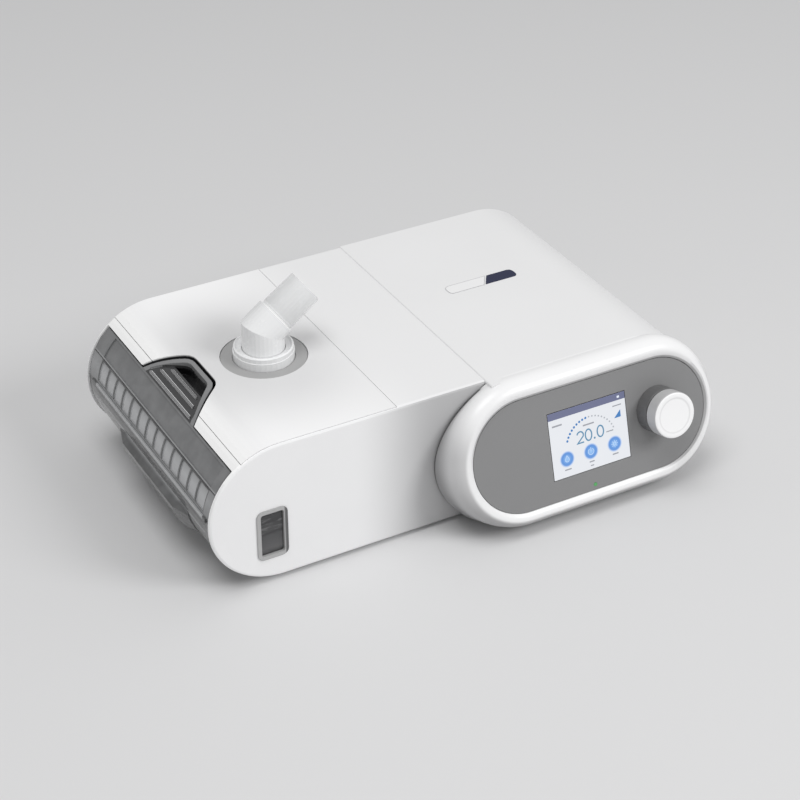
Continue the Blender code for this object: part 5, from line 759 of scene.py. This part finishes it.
print("strokes and turned forms are ready")

# %% [markdown]
# ## The display
# The display shows a plain page: a header bar, a curved scale of dots, the pressure as a
# number, a signal mark and three round buttons. A picture file could be laid on the
# glass, but this part carries none, so every mark is a thin plate a few hundredths of
# a millimetre above the last. Words are left out, and short grey bars hold their places.

# %% The lit page and its header
SCREEN_X = 56.9 * MM
SCREEN_Y = -43.7 * MM
SCREEN_WIDTH = 52.4 * MM
SCREEN_HEIGHT = 40.6 * MM
HEADER_HEIGHT = 4.3 * MM
LAYER = 0.04 * MM
page_white = glow("page_white", (0.78, 0.8, 0.84), 1.0)
header_blue = glow("header_blue", (0.135, 0.15, 0.26), 1.0)
scale_blue = glow("scale_blue", (0.045, 0.2, 0.5), 1.0)
digit_blue = glow("digit_blue", (0.1, 0.26, 0.42), 1.0)
faint_grey = glow("faint_grey", (0.42, 0.44, 0.48), 1.0)
caption_grey = glow("caption_grey", (0.33, 0.34, 0.38), 1.0)


def corners(centre_x, centre_y, width, height):
    half_w, half_h = width / 2, height / 2
    return [(centre_x - half_w, centre_y - half_h), (centre_x + half_w, centre_y - half_h),
            (centre_x + half_w, centre_y + half_h), (centre_x - half_w, centre_y + half_h)]


def layer(number):
    """The height of a layer of the page above the glass."""
    low = -GLASS_SINK + LAYER * number
    return low, low + LAYER / 2


def on_glass(name, shape, material):
    return piece(name, shape, material, "machine", panel)


page = plate(bmesh.new(), corners(SCREEN_X, SCREEN_Y, SCREEN_WIDTH, SCREEN_HEIGHT), *layer(1))
on_glass("display_page", page, page_white)
header_y = SCREEN_Y + (SCREEN_HEIGHT - HEADER_HEIGHT) / 2
header = plate(bmesh.new(), corners(SCREEN_X, header_y, SCREEN_WIDTH, HEADER_HEIGHT), *layer(2))
on_glass("display_header", header, header_blue)
print("page:", round(SCREEN_WIDTH / MM, 1), "x", round(SCREEN_HEIGHT / MM, 1), "mm")

# %% The curved scale of dots
SCALE_CENTRE = (57.7 * MM, -49.1 * MM)
SCALE_RADIUS = 17.0 * MM
SCALE_START = 158 * DEG
SCALE_END = 22 * DEG
SCALE_DOTS = 19
LIT_DOTS = 9


def scale_dots(first, last, size):
    shape = bmesh.new()
    for i in range(first, last):
        turn = SCALE_START + (SCALE_END - SCALE_START) * i / (SCALE_DOTS - 1)
        x = SCALE_CENTRE[0] + SCALE_RADIUS * math.cos(turn)
        y = SCALE_CENTRE[1] + SCALE_RADIUS * math.sin(turn)
        plate(shape, ring_points((x, y), size / 2, 10), *layer(2))
    return shape


on_glass("scale_lit", scale_dots(0, LIT_DOTS, 1.5 * MM), scale_blue)
on_glass("scale_unlit", scale_dots(LIT_DOTS, SCALE_DOTS, 1.1 * MM), faint_grey)
print("scale of", SCALE_DOTS, "dots,", LIT_DOTS, "of them lit")

# %% The pressure in digits
DIGIT_HEIGHT = 6.8 * MM
DIGIT_WIDTH = 4.3 * MM
DIGIT_PITCH = 5.6 * MM
DIGIT_STROKE = 0.88 * MM
DIGITS_LEFT = 48.6 * MM
DIGITS_LOW = -46.2 * MM


def oval(left, low, width, height, count=28):
    turns = [math.tau * i / count for i in range(count)]
    return [(left + width / 2 * (1 + math.cos(t)), low + height / 2 * (1 + math.sin(t))) for t in turns]


def figure_two(left, low, width, height):
    radius = width / 2
    bow = [(left + radius * (1 + math.cos(t)), low + height - radius * (1 - math.sin(t)))
           for t in [(165 - 15 * i) * DEG for i in range(14)]]
    return bow + [(left, low), (left + width, low)]


digits = bmesh.new()
stroke(digits, figure_two(DIGITS_LEFT, DIGITS_LOW, DIGIT_WIDTH, DIGIT_HEIGHT), DIGIT_STROKE, *layer(3))
for share in (1.0, 2.45):
    ring = oval(DIGITS_LEFT + DIGIT_PITCH * share, DIGITS_LOW, DIGIT_WIDTH, DIGIT_HEIGHT)
    stroke(digits, ring, DIGIT_STROKE, *layer(3), closed=True)
dot = (DIGITS_LEFT + DIGIT_PITCH * 2.08, DIGITS_LOW + DIGIT_STROKE / 2)
plate(digits, ring_points(dot, DIGIT_STROKE * 0.75, 12), *layer(3))
on_glass("display_digits", digits, digit_blue)
print("digits are", round(DIGIT_HEIGHT / MM, 1), "mm high")

# %% [markdown]
# The three buttons are glossy blue discs with a pale edge. Each is its own object with
# its origin in its middle, because then one finish can shade every button by the
# distance from its own centre.

# %% The three round buttons
BUTTON_RADIUS = 4.3 * MM
BUTTON_RIM = 5.0 * MM
BUTTON_Y = -53.2 * MM
BUTTON_XS = (40.5 * MM, 56.8 * MM, 73.1 * MM)


def button_blue():
    finish = Finish("button_blue")
    distance = finish.node("ShaderNodeVectorMath", {"operation": "LENGTH"}, {0: finish.place()}, "Value")
    inner = finish.mix(distance.rise(0, BUTTON_RADIUS * 0.8), (0.3, 0.53, 0.87), (0.1, 0.28, 0.68))
    tone = finish.mix(distance.rise(BUTTON_RADIUS * 0.85, BUTTON_RIM), inner, (0.66, 0.74, 0.87))
    return finish.surface({"Base Color": (0.02, 0.02, 0.03), "Roughness": 0.3, "Emission Color": tone,
                           "Emission Strength": 1.0})


def glyph(number):
    """A generic mark on a button: a drop, a bar in a ring, a wheel."""
    shape = bmesh.new()
    width = 0.42 * MM
    if number == 0:
        drop = [(0, 2.1 * MM)] + ring_points((0, -0.4 * MM), 1.3 * MM, 13, 20 * DEG, -200 * DEG)
        return stroke(shape, drop, width, 0, LAYER / 2, True)
    if number == 1:
        stroke(shape, ring_points((0, 0), 1.9 * MM, 16, 120 * DEG, 420 * DEG), width, 0, LAYER / 2)
        return stroke(shape, [(0, 0.2 * MM), (0, 2.5 * MM)], width, 0, LAYER / 2)
    stroke(shape, ring_points((0, 0), 1.0 * MM, 14), width, 0, LAYER / 2, True)
    for i in range(8):
        turn = i * 45 * DEG
        a = Vector((math.cos(turn), math.sin(turn)))
        stroke(shape, [a * 1.5 * MM, a * 2.2 * MM], width, 0, LAYER / 2)
    return shape


blue_finish = button_blue()
glyph_white = glow("glyph_white", (0.8, 0.86, 0.95), 1.0)
glyph_pale = glow("glyph_pale", (0.5, 0.68, 0.93), 1.0)
for number, x in enumerate(BUTTON_XS):
    disc = plate(bmesh.new(), ring_points((0, 0), BUTTON_RIM, 36), -LAYER / 4, LAYER / 4)
    low, high = layer(3)
    where = panel @ Matrix.Translation((x, BUTTON_Y, low))
    piece(f"display_button_{number + 1}", disc, blue_finish, "machine", where)
    where = panel @ Matrix.Translation((x, BUTTON_Y, low + LAYER))
    piece(f"display_glyph_{number + 1}", glyph(number), glyph_pale, "machine", where)
print("buttons:", len(BUTTON_XS))

# %% Bars for words, and the signal mark
captions = bmesh.new()
word_bars = (
    (36.2, -31.6, 6.6, 1.0), (77.2, -30.6, 6.0, 0.7), (57.0, -36.4, 7.6, 0.9), (70.8, -44.6, 4.8, 0.7),
    (40.5, -59.6, 4.4, 0.8), (56.8, -59.4, 3.4, 0.8), (56.8, -61.8, 2.2, 0.7), (73.1, -59.4, 4.0, 0.8),
)
for x, y, width, height in word_bars:
    plate(captions, corners(x * MM, y * MM, width * MM, height * MM), *layer(3))
on_glass("display_bars", captions, caption_grey)
signal = plate(bmesh.new(), [(74.6 * MM, -38.0 * MM), (79.2 * MM, -38.0 * MM), (79.2 * MM, -33.6 * MM)], *layer(3))
on_glass("display_signal", signal, scale_blue)
mark = plate(bmesh.new(), corners(78.6 * MM, -25.7 * MM, 1.6 * MM, 1.3 * MM), *layer(3))
on_glass("display_mark", mark, glyph_white)
print("bars:", len(word_bars))

# %% [markdown]
# ## The pod's rim
# The controls sit in a pod whose edge is broadly rounded, with a narrow bright chamfer
# that leads down to the fascia. The loaded solid has the right outlines but few steps
# between them, so its rounding looks flat. A bevel modifier couldn't follow it, because
# the rounding is deep on the left and shallow on the right. So the rim is lofted again:
# each ring goes round the fascia, and its distance and depth vary with the direction.

# %% Rings round the fascia
EDGE_GAP = 0.3 * MM
CREST = 1.1 * MM
END_STEPS = 48
SIDE_STEPS = 12


def stations():
    """The middle of the curve and the direction in degrees, at each step round the pod."""
    left, right = FASCIA_LEFT + FASCIA_HALF, FASCIA_RIGHT - FASCIA_HALF
    steps = [(right, 90 - 180 * i / END_STEPS) for i in range(END_STEPS + 1)]
    steps += [(right + (left - right) * i / SIDE_STEPS, -90) for i in range(1, SIDE_STEPS)]
    steps += [(left, -90 - 180 * i / END_STEPS) for i in range(END_STEPS + 1)]
    return steps + [(left + (right - left) * i / SIDE_STEPS, 90) for i in range(1, SIDE_STEPS)]


def by_direction(turn, left, right, top, bottom):
    """A size that has one value on each of the four sides and blends between them."""
    x, y = math.cos(turn * DEG), math.sin(turn * DEG)
    return x * x * (right if x > 0 else left) + y * y * (top if y > 0 else bottom)


def on_ring(station, radius, depth):
    centre, turn = station
    return panel @ Vector((centre + radius * math.cos(turn * DEG), FASCIA_MIDDLE + radius * math.sin(turn * DEG), depth))


print("stations round the pod:", len(stations()))


# %% The rounded shoulder and the root
def crest_radius(turn):
    return FASCIA_HALF + EDGE_GAP + by_direction(turn, 3.9, 2.0, 3.6, 3.6) * MM


def shoulder(station, share):
    """A point on the rounded shoulder: 0 at its outer edge, 1 at the crest."""
    turn = station[1]
    reach = by_direction(turn, 8.5, 5.2, 8.55, 5.45) * MM
    depth = by_direction(turn, 13.1, 6.5, 10.1, 9.0) * MM
    radius = crest_radius(turn) + reach * math.cos(share * 90 * DEG)
    return on_ring(station, radius, CREST - depth * (1 - math.sin(share * 90 * DEG)))


def inside_root(x, z):
    """Whether a point is inside the curve where the pod meets the body, about the seam and the axis."""
    x, z = x / MM - 24.5, z / MM + 3
    climb = math.atan2(z, -x) / DEG
    share = min(abs(climb) / (60 if climb > 0 else 47), 1)
    bulge = 57.3 - (5.9 if climb > 0 else 2.1) * share * share * (3 - 2 * share)
    return x > 0 or math.hypot(x, z) < bulge


ROOT_GAP = 0.7 * MM
OVER_NOSE = 0.03 * MM


def root(station, inset=0.0, forward=0.0):
    """A point of the pod's root, on the body's front plane or forward of it."""
    centre, turn = station
    x, z = math.cos(turn * DEG), math.sin(turn * DEG)
    half = end_radius + OVER_NOSE
    y = front_y - ROOT_GAP - forward
    grow = half - inset * 0.05
    if x >= -1e-9 or centre > FASCIA_LEFT + FASCIA_HALF + 1e-9:
        share = (centre - FASCIA_LEFT - FASCIA_HALF) / (FASCIA_RIGHT - FASCIA_LEFT - 2 * FASCIA_HALF)
        left, right = FASCIA_LEFT + FASCIA_HALF, right_axis_x - seam_x
        return Vector((seam_x + left + (right - left) * share + grow * max(x, 0), y, axis_z + grow * z))
    low, high = 0.0, 80 * MM
    for _ in range(30):
        middle = (low + high) / 2
        px, pz = centre + middle * x, middle * z
        if inside_root(px, pz) and abs(pz) < half:
            low = middle
        else:
            high = middle
    reach = low - inset * min(abs(x) * 1.5 + 0.05, 1)
    return Vector((seam_x + centre + reach * x, y, axis_z + reach * z))


print("root at the left:", round(root((FASCIA_LEFT + FASCIA_HALF, 180)).x / MM, 1), "mm")


# %% Loft the pod
def flank(station, share):
    """A point between the shoulder and the root, on a curve that leaves both smoothly."""
    start, end = shoulder(station, 0), root(station)
    pull = (end - start).length * 0.36
    inward = panel.to_3x3() @ Vector((0, 0, -pull))
    a, b = start + inward, end + Vector((0, -pull, 0))
    rest = 1 - share
    return start * rest ** 3 + a * 3 * rest * rest * share + b * 3 * rest * share * share + end * share ** 3


SEAT = -2.9 * MM
EDGE = -0.45 * MM
LEDGE = 3.3 * MM
LINING = 2.6 * MM
around = stations()
rings = [[shoulder(s, i / 10) for s in around] for i in range(11)]
rings += [[on_ring(s, FASCIA_HALF + EDGE_GAP + 0.15 * MM, EDGE + 0.06 * MM) for s in around]]
rings += [[on_ring(s, FASCIA_HALF + EDGE_GAP, depth) for s in around] for depth in (EDGE - 0.1 * MM, SEAT)]
rings += [[on_ring(s, FASCIA_HALF + EDGE_GAP - LEDGE, depth) for s in around] for depth in (SEAT, SEAT - 4.3 * MM)]
rings += [[on_ring(s, crest_radius(s[1]) + LINING, SEAT - 5.5 * MM) for s in around]]
rings += [[root(s, 1.6 * MM, 8 * MM) for s in around], [root(s, 1.6 * MM) for s in around]]
rings += [[flank(s, 1 - i / 5) for s in around] for i in range(5)]
pod_mesh = bmesh.new()
grid = [[pod_mesh.verts.new(point) for point in ring] for ring in rings]
for one, two in zip(grid, grid[1:] + grid[:1]):
    for i in range(len(around)):
        j = (i + 1) % len(around)
        pod_mesh.faces.new((one[i], one[j], two[j], two[i]))
pod = piece("pod_shell", pod_mesh, white_pod, "machine", None, True)
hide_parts("front_bezel")
print("pod:", len(rings), "rings,", len(pod.data.polygons), "faces")

# %% [markdown]
# ## The knob
# The knob's cap is turned, with a shallow dish in its face and a soft edge. The loaded
# part has the right size but few sides, so a finer turned cap stands for it and rides
# on the same body, which turns and is pushed in.

# %% A finer knob
KNOB_X = 104.0 * MM
KNOB_Y = -40.0 * MM
KNOB_RADIUS = 13.8 * MM
KNOB_TOP = 18.1 * MM
KNOB_BACK = 9.7 * MM
KNOB_EDGE = 1.1 * MM
KNOB_WALL = 2.0 * MM
KNOB_DISH = 0.3 * MM
BOSS_RADIUS = 4.6 * MM
BOSS_BORE = 3.125 * MM


def knob_finish():
    finish = Finish("knob_white")
    distance = finish.node("ShaderNodeVectorMath", {"operation": "LENGTH"}, {0: finish.stretched((1, 1, 0))}, "Value")
    # painted shade: the side is made a darker grey than the face; a slightly darker ring lies where the dish rises
    side = distance.rise(KNOB_RADIUS - 0.5 * MM, KNOB_RADIUS - 0.1 * MM)
    ring = distance.rise(9.6 * MM, 10.2 * MM) * (1 - distance.rise(10.4 * MM, 11.2 * MM))
    face = finish.mix(ring, (0.93, 0.93, 0.935), (0.8, 0.8, 0.805))
    tone = finish.mix(side, face, (0.5, 0.5, 0.505))
    skin = finish.bump(finish.noise(0.4 * MM), 0.003 * MM)
    return finish.surface({"Base Color": tone, "Roughness": 0.32 + finish.noise(7 * MM) * 0.06, "Normal": skin})


edge_turns = [90 * DEG * i / 6 for i in range(7)]
edge = [(KNOB_RADIUS - KNOB_EDGE * (1 - math.sin(t)), KNOB_TOP - KNOB_EDGE * (1 - math.cos(t))) for t in edge_turns]
profile = [(0, KNOB_TOP - KNOB_DISH), (9.4 * MM, KNOB_TOP - KNOB_DISH), (10.0 * MM, KNOB_TOP - KNOB_DISH * 0.8),
           (10.8 * MM, KNOB_TOP - KNOB_DISH * 0.15), (11.6 * MM, KNOB_TOP)] + edge + [
    (KNOB_RADIUS, KNOB_BACK), (KNOB_RADIUS - KNOB_WALL, KNOB_BACK),
    (KNOB_RADIUS - KNOB_WALL, KNOB_TOP - KNOB_WALL), (BOSS_RADIUS, KNOB_TOP - KNOB_WALL), (BOSS_RADIUS, KNOB_BACK),
    (BOSS_BORE, KNOB_BACK), (BOSS_BORE, KNOB_TOP - KNOB_WALL), (0, KNOB_TOP - KNOB_WALL)]
knob_place = panel @ Matrix.Translation((KNOB_X, KNOB_Y, 0))
cap = piece("knob_cap", turned(bmesh.new(), profile, 96), knob_finish(), "knob", knob_place, True)
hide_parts("knob")
print("knob cap:", len(cap.data.polygons), "faces")

# %% [markdown]
# ## The badge plate
# A thin badge lies on the top cover: a pale plate with a hairline round it and a dark
# blue field at its right end, cut at a slant. On this part it stays bare. It is two
# plates and one stroke, and the blue one stands a hair higher.

# %% The bare badge
BADGE_LOW = 0.0 * MM
BADGE_HIGH = 0.16 * MM
badge_place = Matrix.Translation((0, 0, top_z))
badge_outline = [(48.6, 26.0), (69.8, 26.0), (75.4, 34.9), (49.6, 34.9), (47.6, 34.0), (46.6, 32.4), (46.6, 28.4), (47.2, 26.8)]
blue_outline = [(70.9, 26.0), (91.6, 26.0), (93.1, 26.8), (93.8, 28.4), (93.8, 31.8), (93.0, 34.0), (91.2, 34.9), (76.6, 34.9)]
badge_white = moulded("badge_white", (0.86, 0.86, 0.865), 0.25)
badge_navy = moulded("badge_navy", (0.008, 0.012, 0.05), 0.22)
hairline = moulded("hairline", (0.45, 0.45, 0.46), 0.4)


def millimetres(points):
    return [(x * MM, y * MM) for x, y in points]


badge = plate(bmesh.new(), millimetres(badge_outline), BADGE_LOW, BADGE_HIGH)
piece("badge_plate", badge, badge_white, "machine", badge_place)
line = stroke(bmesh.new(), millimetres(badge_outline), 0.3 * MM, BADGE_HIGH, BADGE_HIGH + 0.03 * MM, True)
piece("badge_hairline", line, hairline, "machine", badge_place)
field = plate(bmesh.new(), millimetres(blue_outline), BADGE_LOW, BADGE_HIGH + 0.05 * MM)
piece("badge_field", field, badge_navy, "machine", badge_place)
print("badge from", badge_outline[0][0], "to", blue_outline[4][0], "mm")

# %% [markdown]
# ## Screws
# The two base covers and the back panel are held by small cross-head screws. A screw
# could be a plain disc, but the recess is what makes it a screw. The top face is filled
# between the round rim and a cross-shaped hole, and the hole's edge is pushed down.


# %% A cross-head screw
def cross_outline(reach, width):
    h = width / 2
    quarter = [(reach, -h), (reach, h), (h, h)]
    points = []
    for turn in range(4):
        c, s = round(math.cos(turn * 90 * DEG)), round(math.sin(turn * 90 * DEG))
        points += [(x * c - y * s, x * s + y * c) for x, y in quarter]
    return points


def screw(shape, place, radius, height):
    """Adds a pan head that stands on z = 0 of a place, with its recess in its top."""
    def loop(points, z):
        made = [shape.verts.new(place @ Vector((x, y, z))) for x, y in points]
        return made, [shape.edges.new((a, b)) for a, b in zip(made, made[1:] + made[:1])]

    low, _ = loop(ring_points((0, 0), radius, 20), 0)
    shoulder, _ = loop(ring_points((0, 0), radius, 20), height * 0.55)
    rim, rim_edges = loop(ring_points((0, 0), radius * 0.8, 20), height)
    cross, cross_edges = loop(cross_outline(radius * 0.55, radius * 0.2), height)
    deep, _ = loop(cross_outline(radius * 0.45, radius * 0.16), height * 0.2)
    bmesh.ops.triangle_fill(shape, use_beauty=True, use_dissolve=False, edges=rim_edges + cross_edges)
    for one, two in ((low, shoulder), (shoulder, rim), (cross, deep)):
        for i in range(len(one)):
            j = (i + 1) % len(one)
            shape.faces.new((one[i], one[j], two[j], two[i]))
    shape.faces.new(deep)
    shape.faces.new(low[::-1])
    return shape


print("a screw head is ready")

# %% Screws in the base covers and the back panel
screws = bmesh.new()
facing_down = Matrix.Rotation(math.pi, 4, "X")
SCREW_RADIUS = 2.6 * MM
SCREW_MARGIN = 7.0 * MM
for cover, floor in (("humidifier_base", 1.5 * MM), ("main_base", 2.3 * MM)):
    low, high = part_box(cover)
    for x in (low.x + SCREW_MARGIN, high.x - SCREW_MARGIN):
        for y in (low.y + SCREW_MARGIN, high.y - SCREW_MARGIN):
            screw(screws, Matrix.Translation((x, y, base_z + floor)) @ facing_down, SCREW_RADIUS, 1.3 * MM)
piece("base_screws", screws, steel, "machine", None)
rear_low, rear_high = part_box("rear_panel")
facing_back = Matrix.Rotation(-math.pi / 2, 4, "X")
PANEL_FACE_Y = back_y - 1.6 * MM
rear = bmesh.new()
rear_places = ((seam_x + 9 * MM, top_z - 10 * MM), (seam_x + 9 * MM, base_z + 10 * MM),
               (right_axis_x + 17 * MM, axis_z + 26 * MM), (right_axis_x + 17 * MM, axis_z - 26 * MM))
for x, z in rear_places:
    screw(rear, Matrix.Translation((x, PANEL_FACE_Y, z)) @ facing_back, 2.8 * MM, 1.1 * MM)
piece("rear_screws", rear, steel, "machine", None)
print("screws:", 8 + len(rear_places))

# %% [markdown]
# ## The floor and the light
# The floor is a wide pale sheet, and the light is a plain studio: an even grey sky, a
# large soft lamp above and a weaker one in front. The background could be made white by
# turning the lamps up, but that would bleach the machine, so only what the camera sees
# of the sky is made pale.

# %% Floor
FLOOR_SIZE = 30.0
floor_finish = Finish("floor_paper")
floor_tone = floor_finish.mix(floor_finish.noise(0.6, 2.0), (0.68, 0.68, 0.685), (0.7, 0.7, 0.705))
floor_material = floor_finish.surface({"Base Color": floor_tone, "Roughness": 0.9, "Specular IOR Level": 0.0})
sheet = bmesh.new()
half = FLOOR_SIZE / 2
sheet.faces.new([sheet.verts.new((x, y, 0)) for x, y in ((-half, -half), (half, -half), (half, half), (-half, half))])
floor_mesh = bpy.data.meshes.new("floor")
sheet.to_mesh(floor_mesh)
sheet.free()
floor_mesh.materials.append(floor_material)
floor = bpy.data.objects.new("floor", floor_mesh)
bpy.context.scene.collection.objects.link(floor)
floor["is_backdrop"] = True
print("floor:", FLOOR_SIZE, "m wide")

# %% Sky
world = bpy.data.worlds.new("studio")
bpy.context.scene.world = world
world.use_nodes = True
sky = world.node_tree
sky.nodes.clear()
light_path = sky.nodes.new("ShaderNodeLightPath")
seen = sky.nodes.new("ShaderNodeMath")
seen.operation = "MAXIMUM"
sky.links.new(light_path.outputs["Is Camera Ray"], seen.inputs[0])
sky.links.new(light_path.outputs["Is Transmission Ray"], seen.inputs[1])
even_light = sky.nodes.new("ShaderNodeBackground")
even_light.inputs["Color"].default_value = (1, 1, 1, 1)
even_light.inputs["Strength"].default_value = 0.46
pale = sky.nodes.new("ShaderNodeBackground")
pale.inputs["Color"].default_value = (0.8, 0.8, 0.805, 1)
choice = sky.nodes.new("ShaderNodeMixShader")
sky.links.new(seen.outputs[0], choice.inputs[0])
sky.links.new(even_light.outputs[0], choice.inputs[1])
sky.links.new(pale.outputs[0], choice.inputs[2])
out = sky.nodes.new("ShaderNodeOutputWorld")
sky.links.new(choice.outputs[0], out.inputs["Surface"])
print("sky strength:", even_light.inputs["Strength"].default_value)


# %% Lamps
def lamp(name, location, size, power):
    data = bpy.data.lights.new(name, "AREA")
    data.shape = "DISK"
    data.size = size
    data.energy = power
    made = bpy.data.objects.new(name, data)
    made.location = location
    made.rotation_mode = "QUATERNION"
    made.rotation_quaternion = (aim - Vector(location)).to_track_quat("-Z", "Y")
    bpy.context.scene.collection.objects.link(made)
    return made


lamp("key_lamp", (-0.5, -0.3, 2.0), 1.2, 15.5)
lamp("front_lamp", (1.15, -1.6, 1.46), 1.0, 21)
bpy.context.scene.view_settings.view_transform = "Standard"

# %% [markdown]
# ## Sizes
# The finished model should be as large as the loaded one, so the box of all that is
# shown is measured and its size printed.

# %% Measure the sizes
low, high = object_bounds()
print("visual size in mm:", [round(s / MM, 1) for s in high - low])
